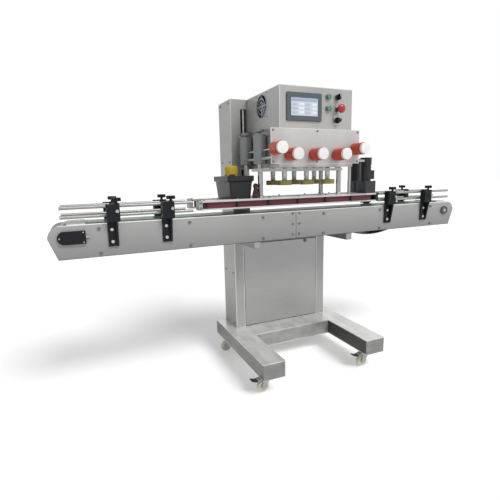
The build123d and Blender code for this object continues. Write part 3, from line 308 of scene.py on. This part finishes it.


# Finishes of the machine's own parts

# The head, door, conveyor plates and hand knobs carry painted light and shade by height, lighter above and
# darker below
finishes = {
    # The head, box, cabinet, door and feet carry random tone with painted sheen bands
    "headSheet": finish("headSheet", (0.52, 0.518, 0.51), *sheetFeel, grain=alongX, grainAmount=0.2,
                        bump=0.2, patchScale=3.0, toneAndSheen=((7.0, 1.5, 2.0), 0.45), heightShade=(930, 1070, 0.08),
                        zones=headZones),
    "boxSheet": finish("boxSheet", (0.42, 0.418, 0.412), *sheetFeel, grain=alongX, grainAmount=0.2, bump=0.2,
                       patchScale=3.0, toneAndSheen=((6.0, 6.0, 2.0), 0.6), zones=boxZones),
    "cabinetSheet": finish("cabinetSheet", (0.37, 0.37, 0.364), *sheetFeel, grain=alongZ, grainAmount=0.2,
                           bump=0.2, patchScale=2.5, toneAndSheen=((2.5, 2.5, 5.0), 0.4), zones=cabinetZones),
    "doorSheet": finish("doorSheet", (0.40, 0.40, 0.398), *sheetFeel, grain=alongX, grainAmount=0.2,
                        bump=0.2, patchScale=2.5, toneAndSheen=((1.5, 1.5, 5.0), 0.2), heightShade=(150, 640, 0.22),
                        zones=doorZones),
    "footSheet": finish("footSheet", (0.50, 0.498, 0.49), *sheetFeel, grain=alongY, grainAmount=0.45,
                        bump=0.3, patchScale=9.0, patchAmount=0.5, toneAndSheen=((22.0, 9.0, 30.0), 0.8),
                        zones=footZones),
    "beadBlast": finish("beadBlast", (0.315, 0.315, 0.313), 0.3, 0.42, grainAmount=0.08, patchScale=2.0,
                        patchAmount=0.08, heightShade=(600, 735, 0.24), zones=plateZones),
    "beltCloth": finish("beltCloth", (0.04, 0.095, 0.055), 0.0, 0.3, grain=(1400.0, 1400.0, 1400.0),
                        grainAmount=0.3, bump=0.4),
    "turnedAlloy": finish("turnedAlloy", (0.55, 0.55, 0.54), 0.85, 0.32, grainAmount=0.08),
    "zincPlate": finish("zincPlate", (0.40, 0.40, 0.385), 0.8, 0.3, patchScale=30.0, patchAmount=0.35,
                        zones=pedalZones),
    "railRod": finish("railRod", (0.34, 0.34, 0.335), 0.5, 0.42, bump=0.0, gloss=0.3, zones=clampZones),
    "bracketNylon": finish("bracketNylon", (0.007, 0.0075, 0.011), 0.0, 0.45, grainAmount=0.25, bump=0.3,
                           gloss=0.22),
    "unitFrame": finish("unitFrame", (0.58, 0.58, 0.57), 0.75, 0.32, zones=unitZones),
    "motorPaint": finish("motorPaint", (0.014, 0.015, 0.018), 0.0, 0.42, grainAmount=0.2, bump=0.25,
                         gloss=0.35, zones=motorZones),
    "gripFoam": finish("gripFoam", (0.135, 0.022, 0.032), 0.0, 0.6, grain=(60.0, 800.0, 800.0),
                       grainAmount=0.4, bump=0.5, patchScale=8.0, patchAmount=0.3),
    "capWheel": finish("capWheel", *steel, zones=wheelZones),
    "knobRed": finish("knobRed", (0.50, 0.048, 0.017), 0.0, 0.38, grainAmount=0.2, heightShade=(930, 1020, 0.1),
                      zones=handKnobZones),
    "wheelCream": finish("wheelCream", (0.70, 0.68, 0.55), 0.0, 0.45, grainAmount=0.15, patchScale=40.0,
                         patchAmount=0.25),
    "screenBezel": finish("screenBezel", (0.075, 0.097, 0.108), 0.0, 0.4, grainAmount=0.2, bump=0.3,
                          zones=glassZones),
    "lampGreen": finish("lampGreen", (0.05, 0.30, 0.15), 0.0, 0.14, grainAmount=0.3,
                        grain=(250.0, 250.0, 250.0), rings=lampRings),
    "knobBlack": finish("knobBlack", *blackAndPaintedShade, grainAmount=0.2, gloss=0.25),
    "fanBlade": finish("fanBlade", (0.30, 0.36, 0.66), 0.0, 0.3, grainAmount=0.2),
    "stopRed": finish("stopRed", (0.42, 0.02, 0.025), 0.0, 0.34, zones=stopZones),
    "binPlastic": finish("binPlastic", (0.013, 0.014, 0.016), 0.0, 0.36, grainAmount=0.2, bump=0.25,
                         gloss=0.35),
    "capYellow": finish("capYellow", (0.70, 0.50, 0.05), 0.0, 0.4, grainAmount=0.15),
    "boltHead": finish("boltHead", (0.20, 0.20, 0.197), 0.6, 0.35, patchScale=60.0, patchAmount=0.4),
    "boltBright": finish("boltBright", (0.55, 0.55, 0.54), 0.7, 0.3, patchScale=60.0, patchAmount=0.4),
    "threadSteel": finish("threadSteel", (0.85, 0.85, 0.84), 0.5, 0.4, grainAmount=0.05),
    "sleeveSteel": finish("sleeveSteel", (0.55, 0.55, 0.54), 0.7, 0.28, grainAmount=0.1),
    "plugGrey": finish("plugGrey", (0.34, 0.34, 0.335), 0.2, 0.4),
    "markWhite": finish("markWhite", *white),
    "pageBlue": finish("pageBlue", (0.36, 0.45, 0.62), 0.0, 0.2),
    "pageGrey": finish("pageGrey", (0.50, 0.56, 0.64), 0.0, 0.2),
    "pageWhite": finish("pageWhite", (0.78, 0.82, 0.86), 0.0, 0.2),
}

# The finish of each piece, by how its name starts
pieceFinishes = {
    "base_frame": "footSheet", "cabinet_door": "doorSheet", "cabinet": "cabinetSheet",
    "control_box": "boxSheet", "head_frame": "headSheet", "conveyor_belt": "beltCloth",
    "conveyor": "beadBlast", "idler_roller": "turnedAlloy", "drive_roller": "turnedAlloy",
    "rail_brackets": "bracketNylon", "fan_rotor": "fanBlade", "touch_screen": "screenBezel",
    "green_lamps": "lampGreen", "selector": "knobBlack", "speed_knob": "knobBlack",
    "emergency_stop": "stopRed", "parts_bin": "binPlastic", "spare_caps": "capYellow",
    "caster_fork": "zincPlate", "caster_wheel": "wheelCream", "guide_rail": "railRod",
    "front_unit_frame": "unitFrame", "rear_unit_frame": "unitFrame",
    "front_unit_motor": "motorPaint", "rear_unit_motor": "motorPaint",
    "front_grip_belt": "gripFoam", "rear_grip_belt": "gripFoam",
    "front_idle": "turnedAlloy", "front_drive": "turnedAlloy",
    "rear_idle": "turnedAlloy", "rear_drive": "turnedAlloy",
    "hand_knob": "knobRed", "carriage": "turnedAlloy", "spindle": "capWheel",
}
for name, part in nodes.items():
    chosen = next((look for start, look in pieceFinishes.items() if name.startswith(start)), None)
    if chosen:
        for slot in part.material_slots:
            slot.material = finishes[chosen]
print("finishes given:", len(finishes))


# Geometry Nodes: every tree takes a mesh of points, each with the way that it faces

def newTree(name, inputs):
    tree = bpy.data.node_groups.new(name, "GeometryNodeTree")
    tree.interface.new_socket("Geometry", in_out="INPUT", socket_type="NodeSocketGeometry")
    for label, kind, value in inputs:
        socket = tree.interface.new_socket(label, in_out="INPUT", socket_type="NodeSocket" + kind)
        if value is not None:
            socket.default_value = value
    tree.interface.new_socket("Geometry", in_out="OUTPUT", socket_type="NodeSocketGeometry")
    return tree, tree.nodes.new("NodeGroupInput").outputs, tree.nodes.new("NodeGroupOutput").inputs


def grow(tree, kind, values=None, **settings):
    node = tree.nodes.new(kind)
    for label, value in settings.items():
        setattr(node, label, value)
    for label, value in (values or {}).items():
        plug(tree, node.inputs[label], value)
    return node


def scatter(tree, source, sink, shape):
    # the finished shape on every point, turned to face its way, and given its material
    facing = grow(tree, "GeometryNodeInputNamedAttribute", {"Name": "facing"}, data_type="FLOAT_VECTOR")
    size = grow(tree, "GeometryNodeInputNamedAttribute", {"Name": "size"}, data_type="FLOAT")
    turn = grow(tree, "FunctionNodeAlignRotationToVector", {"Vector": facing.outputs[0]}, axis="Z")
    copies = grow(tree, "GeometryNodeInstanceOnPoints", {
        "Points": source["Geometry"], "Instance": shape, "Rotation": turn.outputs[0],
        "Scale": size.outputs[0]})
    real = grow(tree, "GeometryNodeRealizeInstances", {"Geometry": copies.outputs[0]})
    painted = grow(tree, "GeometryNodeSetMaterial", {
        "Geometry": real.outputs[0], "Material": source["Finish"]})
    tree.links.new(painted.outputs[0], sink["Geometry"])


def makeBoltTree():
    # a button head with a rounded shoulder and a key socket sunk in its top
    tree, source, sink = newTree("boltHeads", [
        ("Radius", "Float", 0.005), ("Height", "Float", 0.003), ("Socket", "Float", 0.5),
        ("Sides", "Int", 14), ("Finish", "Material", None)])
    head = grow(tree, "GeometryNodeMeshCylinder", {
        "Vertices": source["Sides"], "Radius": source["Radius"], "Depth": source["Height"]})
    lifted = grow(tree, "GeometryNodeTransform", {"Geometry": head.outputs["Mesh"]})
    nearlyHalf = calc(tree, "MULTIPLY", source["Height"], 0.48)  # its foot stays just inside the sheet
    rise = grow(tree, "ShaderNodeCombineXYZ", {"Z": nearlyHalf})
    tree.links.new(rise.outputs[0], lifted.inputs["Translation"])
    mesh, top = lifted.outputs[0], head.outputs["Top"]
    shoulder = calc(tree, "MULTIPLY", source["Height"], 0.35)
    for push, shrink in ((shoulder, 0.82), (0.0, source["Socket"])):
        step = grow(tree, "GeometryNodeExtrudeMesh", {
            "Mesh": mesh, "Selection": top, "Offset Scale": push}, mode="FACES")
        small = grow(tree, "GeometryNodeScaleElements", {
            "Geometry": step.outputs["Mesh"], "Selection": step.outputs["Top"], "Scale": shrink},
            domain="FACE")
        mesh, top = small.outputs[0], step.outputs["Top"]
    socketDepth = calc(tree, "MULTIPLY", source["Height"], -0.8)
    sunk = grow(tree, "GeometryNodeExtrudeMesh", {
        "Mesh": mesh, "Selection": top, "Offset Scale": socketDepth}, mode="FACES")
    scatter(tree, source, sink, sunk.outputs["Mesh"])
    return tree


def makeRibTree():
    # short ribs standing round a circle
    tree, source, sink = newTree("ribRing", [
        ("Count", "Int", 40), ("Radius", "Float", 0.02), ("Rib", "Vector", (0.001, 0.001, 0.01)),
        ("Finish", "Material", None)])
    circle = grow(tree, "GeometryNodeMeshCircle", {"Vertices": source["Count"], "Radius": source["Radius"]})
    rib = grow(tree, "GeometryNodeMeshCube", {"Size": source["Rib"]})
    outward = grow(tree, "GeometryNodeInputPosition")
    turn = grow(tree, "FunctionNodeAlignRotationToVector", {"Vector": outward.outputs[0]}, axis="X")
    ring = grow(tree, "GeometryNodeInstanceOnPoints", {
        "Points": circle.outputs[0], "Instance": rib.outputs["Mesh"], "Rotation": turn.outputs[0]})
    scatter(tree, source, sink, ring.outputs[0])
    return tree


def makeThreadTree():
    # a round core with a ridge wound along it, and a plain journal past each end
    tree, source, sink = newTree("woundThread", [
        ("Core", "Float", 0.005), ("Crest", "Float", 0.006), ("Pitch", "Float", 0.004),
        ("Length", "Float", 0.4), ("End Length", "Float", 0.016), ("Finish", "Material", None)])
    turns = calc(tree, "DIVIDE", source["Length"], source["Pitch"])
    spiral = grow(tree, "GeometryNodeCurveSpiral", {
        "Resolution": 16, "Rotations": turns, "Start Radius": source["Core"],
        "End Radius": source["Core"], "Height": source["Length"]})
    ridge = grow(tree, "GeometryNodeCurvePrimitiveCircle", {
        "Resolution": 4, "Radius": calc(tree, "SUBTRACT", source["Crest"], source["Core"])})
    wound = grow(tree, "GeometryNodeCurveToMesh", {
        "Curve": spiral.outputs[0], "Profile Curve": ridge.outputs[0], "Fill Caps": True})
    depth = calc(tree, "MULTIPLY_ADD", source["End Length"], 2.0, source["Length"])
    core = grow(tree, "GeometryNodeMeshCylinder", {"Vertices": 24, "Radius": source["Core"], "Depth": depth})
    middle = grow(tree, "ShaderNodeCombineXYZ", {"Z": calc(tree, "MULTIPLY", source["Length"], 0.5)})
    moved = grow(tree, "GeometryNodeTransform", {
        "Geometry": core.outputs["Mesh"], "Translation": middle.outputs[0]})
    both = grow(tree, "GeometryNodeJoinGeometry")
    for part in (wound.outputs[0], moved.outputs[0]):
        tree.links.new(part, both.inputs[0])
    scatter(tree, source, sink, both.outputs[0])
    return tree


boltTree = makeBoltTree()
ribTree = makeRibTree()
threadTree = makeThreadTree()


def settle(piece, body, smoothAngle=0.6):
    piece.data.shade_smooth()
    piece.data.set_sharp_from_angle(angle=smoothAngle)
    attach(piece, body)
    return piece


def plant(name, tree, spots, values, look, body):
    # grows the tree on every spot: its place in millimetres, the way that it faces, and its size
    seed = bpy.data.meshes.new(name)
    seed.from_pydata([Vector(spot[0]) / 1000 for spot in spots], [], [])
    facings = seed.attributes.new("facing", "FLOAT_VECTOR", "POINT")
    for index, spot in enumerate(spots):
        facings.data[index].vector = spot[1]
    sizes = seed.attributes.new("size", "FLOAT", "POINT")  # made once the first is filled, or its data moves
    for index, spot in enumerate(spots):
        sizes.data[index].value = spot[2]
    piece = bpy.data.objects.new(name, seed)
    scene.collection.objects.link(piece)
    modifier = piece.modifiers.new("nodes", "NODES")
    modifier.node_group = tree
    settings = dict(values, Finish=finishes[look])
    for item in tree.interface.items_tree:
        if item.in_out == "INPUT" and item.name in settings:
            modifier[item.identifier] = settings[item.name]
    grown = piece.evaluated_get(bpy.context.evaluated_depsgraph_get())
    result = bpy.data.meshes.new_from_object(grown)
    piece.modifiers.remove(modifier)
    piece.data = result
    return settle(piece, body)


def slabs(name, boxes, looks, body, edge=0.15):
    # plates with eased edges in one mesh; each box is its low corner, its high corner and its look
    mesh = bmesh.new()
    for low, high, look in boxes:
        low, high = Vector(low) / 1000, Vector(high) / 1000
        stretch = Matrix.Translation((low + high) / 2) @ Matrix.Diagonal((*(high - low), 1.0))
        made = bmesh.ops.create_cube(mesh, size=1.0, matrix=stretch)
        faces = {face for vertex in made["verts"] for face in vertex.link_faces}
        for face in faces:
            face.material_index = looks.index(look)
        edges = {line for face in faces for line in face.edges}
        bmesh.ops.bevel(mesh, geom=list(edges), offset=edge / 1000, segments=2, profile=0.5,
                        affect="EDGES")
    data = bpy.data.meshes.new(name)
    mesh.to_mesh(data)
    mesh.free()
    for look in looks:
        data.materials.append(finishes[look])
    piece = bpy.data.objects.new(name, data)
    scene.collection.objects.link(piece)
    return settle(piece, body)


def lathe(name, profile, spots, look, body, segments=36):
    # one turned shape, its outline given as radius and height, standing at every spot
    mesh = bmesh.new()
    turns = [math.tau * step / segments for step in range(segments)]
    for x, y in spots:
        rings = []
        for radius, z in profile:
            corners = [(x + radius * math.cos(turn), y + radius * math.sin(turn), z) for turn in turns]
            rings.append([mesh.verts.new(Vector(corner) / 1000) for corner in corners])
        for below, above in zip(rings, rings[1:] + rings[:1]):
            for step in range(segments):
                after = (step + 1) % segments
                mesh.faces.new((below[step], below[after], above[after], above[step]))
    bmesh.ops.recalc_face_normals(mesh, faces=mesh.faces)
    data = bpy.data.meshes.new(name)
    mesh.to_mesh(data)
    mesh.free()
    data.materials.append(finishes[look])
    piece = bpy.data.objects.new(name, data)
    scene.collection.objects.link(piece)
    return settle(piece, body)


# Bolts. A row holds the places in x, y and z, the way that the heads face, and their size.

front, back, leftward, rightward, upward = (0, -1, 0), (0, 1, 0), (-1, 0, 0), (1, 0, 0), (0, 0, 1)
boltSizes = {"Radius": 0.005, "Height": 0.0028, "Socket": 0.55, "Sides": 14}


def gather(rows):
    return [((x, y, z), facing, size) for xs, ys, zs, facing, size in rows.values()
            for x in xs for y in ys for z in zs]


# Cross bar screws and the joint plate's screws, on both sides of the conveyor
barStations = (-830, -490, -165, 148, 484, 830)
barLevels = (711, 619)
jointStations = (-17, 17)
jointLevels = (720, 673, 626)
conveyorRows = {
    "frontBars": (barStations, (-60,), barLevels, front, 1.25),
    "frontJoint": (jointStations, (-60,), jointLevels, front, 1.0),
    "rearBars": (barStations, (90,), barLevels, back, 1.25),
    "rearJoint": (jointStations, (90,), jointLevels, back, 1.0),
}
bossScrews = {"x": 931, "y": -69, "z": 685, "ring": 15, "angles": (0.5, 2.6, 4.7), "size": 0.5}
conveyorSpots = gather(conveyorRows)
for angle in bossScrews["angles"]:
    x = bossScrews["x"] + bossScrews["ring"] * math.cos(angle)
    z = bossScrews["z"] + bossScrews["ring"] * math.sin(angle)
    conveyorSpots.append(((x, bossScrews["y"], z), front, bossScrews["size"]))
plant("conveyor_bolts", boltTree, conveyorSpots, boltSizes, "boltHead", "stand")

# Bolts of the rail brackets, and the three screws of the tension cover
bracketStations = (-785, -585, 525, 769)
bracketLevels = (706, 661)
bracketRows = {
    "front": (bracketStations, (-67,), bracketLevels, front, 1.25),
    "rear": (bracketStations, (97,), bracketLevels, back, 1.25),
    "coverRight": ((-883,), (-70,), (703, 667), front, 0.5),
    "coverLeft": ((-962,), (-70,), (685,), front, 0.5),
}
plant("bracket_bolts", boltTree, gather(bracketRows), boltSizes, "boltBright", "stand")

# Plugs in the ends of the two support tubes; the left tube's rear end is inside the cabinet
tubePlugs = {"ends": ((-209, -57), (282, -57), (282, 226)), "size": 32, "wall": 2.2, "low": 575, "deep": 4}
plugBoxes = []
for left, end in tubePlugs["ends"]:
    inner = tubePlugs["size"] - tubePlugs["wall"]
    low = (left + tubePlugs["wall"], end, tubePlugs["low"] + tubePlugs["wall"])
    high = (left + inner, end + tubePlugs["deep"], tubePlugs["low"] + inner)
    plugBoxes.append((low, high, "plugGrey"))
slabs("tube_plugs", plugBoxes, ["plugGrey"], "stand", edge=0.8)

# Bolts on the head's panel and side plates, and on the control box
headRows = {
    "panel": ((-178, 25, 229), (-187,), (1061, 941), front, 0.8),
    "rightPlate": ((201.5,), (-160, 15), (946, 1048), rightward, 0.6),
    "leftPlate": ((-143,), (-160, 15), (946, 1048), leftward, 0.6),
    "fan": ((-147,), (-76, 24), (1127, 1221), leftward, 0.55),
    "boxRight": ((198,), (-165, 107), (1084, 1216), rightward, 0.6),
    "boxBack": ((-133, 184), (127,), (1084, 1216), back, 0.6),
}
plant("head_bolts", boltTree, gather(headRows), boltSizes, "boltHead", "head")

# Screws down the two sides of the cabinet and the side of its column
cabinetRows = {
    "left": ((-228,), (156, 257), (166, 425, 684), leftward, 0.8),
    "right": ((282,), (156, 257), (166, 425, 684), rightward, 0.8),
    "column": ((-228,), (156, 257), (955, 1215), leftward, 0.8),
}
plant("cabinet_bolts", boltTree, gather(cabinetRows), boltSizes, "boltHead", "stand")

# Lock in the cabinet door: a wider head with a small key socket
doorLock = {"spot": ((166, 130, 555), front, 1.7), "Socket": 0.4, "Sides": 24}
lockSizes = dict(boltSizes, Socket=doorLock["Socket"], Sides=doorLock["Sides"])
plant("door_lock", boltTree, [doorLock["spot"]], lockSizes, "boltHead", "door")
print("conveyor, head and cabinet bolts in place")

# Bolts of the two gripping units: spacer heads along the top plate, gearbox, terminal box and end block
unitSizes = {"firstSpacer": -432, "spacerPitch": 145, "plateTop": 796, "motorClear": 40, "gearboxTop": 853,
             "gearboxCorner": 26, "terminalReach": 32, "terminalHalf": 14, "terminalLevels": (866, 900),
             "blockX": -447, "blockLevels": (767, 786)}
unitSides = {
    "front": {"spacerY": -76, "spacers": 6, "motorX": 405, "motorY": -45, "blockY": -82, "facing": front,
              "blockStep": 34},
    "rear": {"spacerY": 106, "spacers": 7, "motorX": 440, "motorY": 75, "blockY": 112, "facing": back,
             "blockStep": -34},
}


def unitRows(side):
    motorX, motorY, spacerY = side["motorX"], side["motorY"], side["spacerY"]
    corner, half = unitSizes["gearboxCorner"], unitSizes["terminalHalf"]
    plateTop, blockX = (unitSizes["plateTop"],), (unitSizes["blockX"],)
    spacers = [unitSizes["firstSpacer"] + unitSizes["spacerPitch"] * index
               for index in range(side["spacers"])]
    spacers = [x for x in spacers if abs(x - motorX) > unitSizes["motorClear"]]
    return {
        "spacers": (spacers, (spacerY,), plateTop, upward, 1.0),
        "gearbox": ((motorX - corner, motorX + corner), (motorY - corner, motorY + corner),
                    (unitSizes["gearboxTop"],), upward, 0.55),
        "terminal": ((motorX + unitSizes["terminalReach"],), (motorY - half, motorY + half),
                     unitSizes["terminalLevels"], rightward, 0.4),
        "blockSide": (blockX, (side["blockY"],), unitSizes["blockLevels"], side["facing"], 0.9),
        "blockTop": (blockX, (spacerY, spacerY + side["blockStep"]), plateTop, upward, 0.8),
    }


for sideName, side in unitSides.items():
    unit = sideName + "_unit"
    plant(unit + "_bolts", boltTree, gather(unitRows(side)), boltSizes, "boltHead", unit)
print("unit bolts in place")


# Sleeves over the spindle shafts, with a groove near each end
sleeve = {"bore": 7.1, "radius": 11.5, "low": 882, "high": 919, "chamfer": 1, "groove": 1, "grooveWidth": 2,
          "grooveSlope": 0.6, "grooveLevels": (888, 911), "rows": {"front": -40, "rear": 70},
          "stations": (-47, 66, 179)}


def sleeveProfile():
    bore, outer, chamfer = sleeve["bore"], sleeve["radius"], sleeve["chamfer"]
    low, high, inner = sleeve["low"], sleeve["high"], sleeve["radius"] - sleeve["groove"]
    slope, width = sleeve["grooveSlope"], sleeve["grooveWidth"]
    profile = [(bore, low), (outer - chamfer, low), (outer, low + chamfer)]
    for level in sleeve["grooveLevels"]:
        profile += [(outer, level), (inner, level + slope), (inner, level + width - slope),
                    (outer, level + width)]
    return profile + [(outer, high - chamfer), (outer - chamfer, high), (bore, high)]


for sideName, y in sleeve["rows"].items():
    for number, x in enumerate(sleeve["stations"], 1):
        lathe(f"spindle_sleeve_{sideName}_{number}", sleeveProfile(), [(x, y)], "sleeveSteel",
              f"spindle_{sideName}_{number}")

# Collars at the feet of the gripping units' posts
collar = {"bore": 11, "radius": 13.3, "low": 796, "high": 806, "chamfer": 1.5, "stations": (-173, 230),
          "rows": {"front": -57, "rear": 87}}
collarProfile = [(collar["bore"], collar["low"]), (collar["radius"], collar["low"]),
                 (collar["radius"], collar["high"] - collar["chamfer"]),
                 (collar["radius"] - collar["chamfer"], collar["high"]), (collar["bore"], collar["high"])]
for sideName, y in collar["rows"].items():
    lathe(sideName + "_post_collars", collarProfile, [(x, y) for x in collar["stations"]], "sleeveSteel",
          sideName + "_unit")
print("sleeves and collars turned")

# Lifting screw, threaded between its journals; it takes the plain bar's place
liftScrew = {"x": -159.5, "y": 147, "low": 762, "high": 1188, "core": 4.9, "crest": 5.95, "pitch": 4,
             "journal": 16}
threadSizes = {"Core": liftScrew["core"] / 1000, "Crest": liftScrew["crest"] / 1000,
               "Pitch": liftScrew["pitch"] / 1000, "Length": (liftScrew["high"] - liftScrew["low"]) / 1000,
               "End Length": liftScrew["journal"] / 1000}
threadSpot = ((liftScrew["x"], liftScrew["y"], liftScrew["low"]), upward, 1.0)
screwPiece = plant("lift_screw_thread", threadTree, [threadSpot], threadSizes, "threadSteel", "lift_screw")
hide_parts("lift_screw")
print("lifting screw threaded")

# Control panel: ticks round the speed dial
dial = {"x": 122, "y": -189, "z": 1106, "ticks": 24, "radius": 14.6, "tick": (0.0024, 0.0005, 0.0004)}
tickSizes = {"Count": dial["ticks"], "Radius": dial["radius"] / 1000, "Rib": dial["tick"]}
plant("dial_ticks", ribTree, [((dial["x"], dial["y"], dial["z"]), front, 1.0)], tickSizes, "markWhite",
      "head")

# The touch screen's page: a bar along its top, and tiles in rows
page = {"left": -96, "right": 21, "high": 1182, "y": -190.5, "thick": 0.4, "barLow": 1171, "rows": 3,
        "columns": 4, "margin": 3, "tileTop": 1155, "tileWide": 24, "tileHigh": 10.5, "pitchX": 29,
        "pitchZ": 15.5, "edge": 0.12}
pageFront = page["y"] - page["thick"]
pageBar = ((page["left"], pageFront, page["barLow"]), (page["right"], page["y"], page["high"]), "pageBlue")
pageBoxes = [pageBar]
for row in range(page["rows"]):
    for column in range(page["columns"]):
        x = page["left"] + page["margin"] + column * page["pitchX"]
        z = page["tileTop"] - row * page["pitchZ"]
        look = "pageWhite" if column % 2 else "pageGrey"
        highCorner = (x + page["tileWide"], page["y"], z + page["tileHigh"])
        pageBoxes.append(((x, pageFront, z), highCorner, look))
slabs("screen_page", pageBoxes, ["pageBlue", "pageGrey", "pageWhite"], "head", edge=page["edge"])

# White marks on the two knobs, each a low and a high corner
knobMarks = {"speed_knob": ((121.2, -206.9, 1108), (122.8, -206.1, 1117)),
             "selector": ((121.3, -207.9, 1197), (122.7, -207.1, 1206))}
for knob, (low, high) in knobMarks.items():
    slabs(knob + "_mark", [(low, high, "markWhite")], ["markWhite"], knob)
print("control panel marked")

# Grip ribs round the spare caps in the bin
capRibs = {"x": -265.5, "y": 45, "radius": 27, "count": 60, "levels": (811.5, 838.5, 865.5, 892.5, 919.5),
           "rib": (0.0014, 0.0012, 0.018)}
ribSizes = {"Count": capRibs["count"], "Radius": capRibs["radius"] / 1000, "Rib": capRibs["rib"]}
ribSpots = [((capRibs["x"], capRibs["y"], z), upward, 1.0) for z in capRibs["levels"]]
plant("cap_ribs", ribTree, ribSpots, ribSizes, "capYellow", "head")
print("cap ribs in place")


# Floor, world, lights and camera

lighting = {"world": 0.34, "floorTone": 0.95, "floorLift": 0.22, "floorHalf": 40}
suns = {"keySun": {"energy": 2.2, "spread": 25, "direction": (-0.35, 0.8, -1.0)},
        "fillSun": {"energy": 0.08, "spread": 40, "direction": (0.9, 0.5, -0.6)}}
plainWhite = (1.0, 1.0, 1.0, 1.0)


def seenMask(tree):
    # 1 for what the camera, the metal and the glass see
    path = tree.nodes.new("ShaderNodeLightPath").outputs
    return calc(tree, "MAXIMUM", calc(tree, "MAXIMUM", path["Is Camera Ray"], path["Is Glossy Ray"]),
                path["Is Transmission Ray"])


def makeFloor():
    half, tone = lighting["floorHalf"], lighting["floorTone"]
    mesh = bpy.data.meshes.new("floor")
    corners = [(-half, -half, 0), (half, -half, 0), (half, half, 0), (-half, half, 0)]
    mesh.from_pydata(corners, [], [(0, 1, 2, 3)])
    floor = bpy.data.objects.new("floor", mesh)
    scene.collection.objects.link(floor)
    material = bpy.data.materials.new("paleFloor")
    material.use_nodes = True
    tree = material.node_tree
    shader = tree.nodes["Principled BSDF"]
    shader.inputs["Base Color"].default_value = (tone, tone, tone, 1.0)
    shader.inputs["Roughness"].default_value = 0.9
    shader.inputs["Specular IOR Level"].default_value = 0.1
    shader.inputs["Emission Color"].default_value = plainWhite
    glow = calc(tree, "MULTIPLY", seenMask(tree), lighting["floorLift"])
    tree.links.new(glow, shader.inputs["Emission Strength"])
    mesh.materials.append(material)


def makeWorld():
    # soft light for the surfaces; white for what the camera, the metal and the glass see
    world = bpy.data.worlds.new("softBox")
    scene.world = world
    world.use_nodes = True
    tree = world.node_tree
    seen = tree.nodes["Background"]
    soft = tree.nodes.new("ShaderNodeBackground")
    for background, level in ((seen, 1.0), (soft, lighting["world"])):
        background.inputs[0].default_value = plainWhite
        background.inputs[1].default_value = level
    blend = tree.nodes.new("ShaderNodeMixShader")
    tree.links.new(seenMask(tree), blend.inputs[0])
    tree.links.new(soft.outputs[0], blend.inputs[1])
    tree.links.new(seen.outputs[0], blend.inputs[2])
    tree.links.new(blend.outputs[0], tree.nodes["World Output"].inputs[0])


def makeSun(name, energy, spread, direction):
    light = bpy.data.lights.new(name, "SUN")
    light.energy = energy
    light.angle = math.radians(spread)
    lamp = bpy.data.objects.new(name, light)
    lamp.rotation_euler = Vector(direction).to_track_quat("-Z", "Y").to_euler()
    scene.collection.objects.link(lamp)


makeFloor()
makeWorld()
for name, sun in suns.items():
    makeSun(name, **sun)

# The camera stands where a fit of the photograph put it; angles in radians, its place in metres
view = {"yaw": 0.413523, "pitch": -0.183963, "roll": -0.0235541, "place": (-0.8852, -1.5525, 0.8775),
        "focalPixels": 383.162, "picturePixels": 500, "sensor": 36}


def makeCamera():
    yaw, pitch, roll = view["yaw"], view["pitch"], view["roll"]
    ahead = Vector((math.sin(yaw) * math.cos(pitch), math.cos(yaw) * math.cos(pitch), math.sin(pitch)))
    levelRight = ahead.cross(Vector((0, 0, 1))).normalized()
    levelUp = levelRight.cross(ahead)
    right = levelRight * math.cos(roll) + levelUp * math.sin(roll)
    up = levelUp * math.cos(roll) - levelRight * math.sin(roll)
    lens = bpy.data.cameras.new("camera")
    lens.sensor_width = view["sensor"]
    lens.lens = view["focalPixels"] / view["picturePixels"] * view["sensor"]
    camera = bpy.data.objects.new("camera", lens)
    turn = Matrix((right, up, -ahead)).transposed().to_4x4()
    camera.matrix_world = Matrix.Translation(view["place"]) @ turn
    scene.collection.objects.link(camera)
    scene.camera = camera


makeCamera()
scene.view_settings.view_transform = "Standard"
print("studio set")
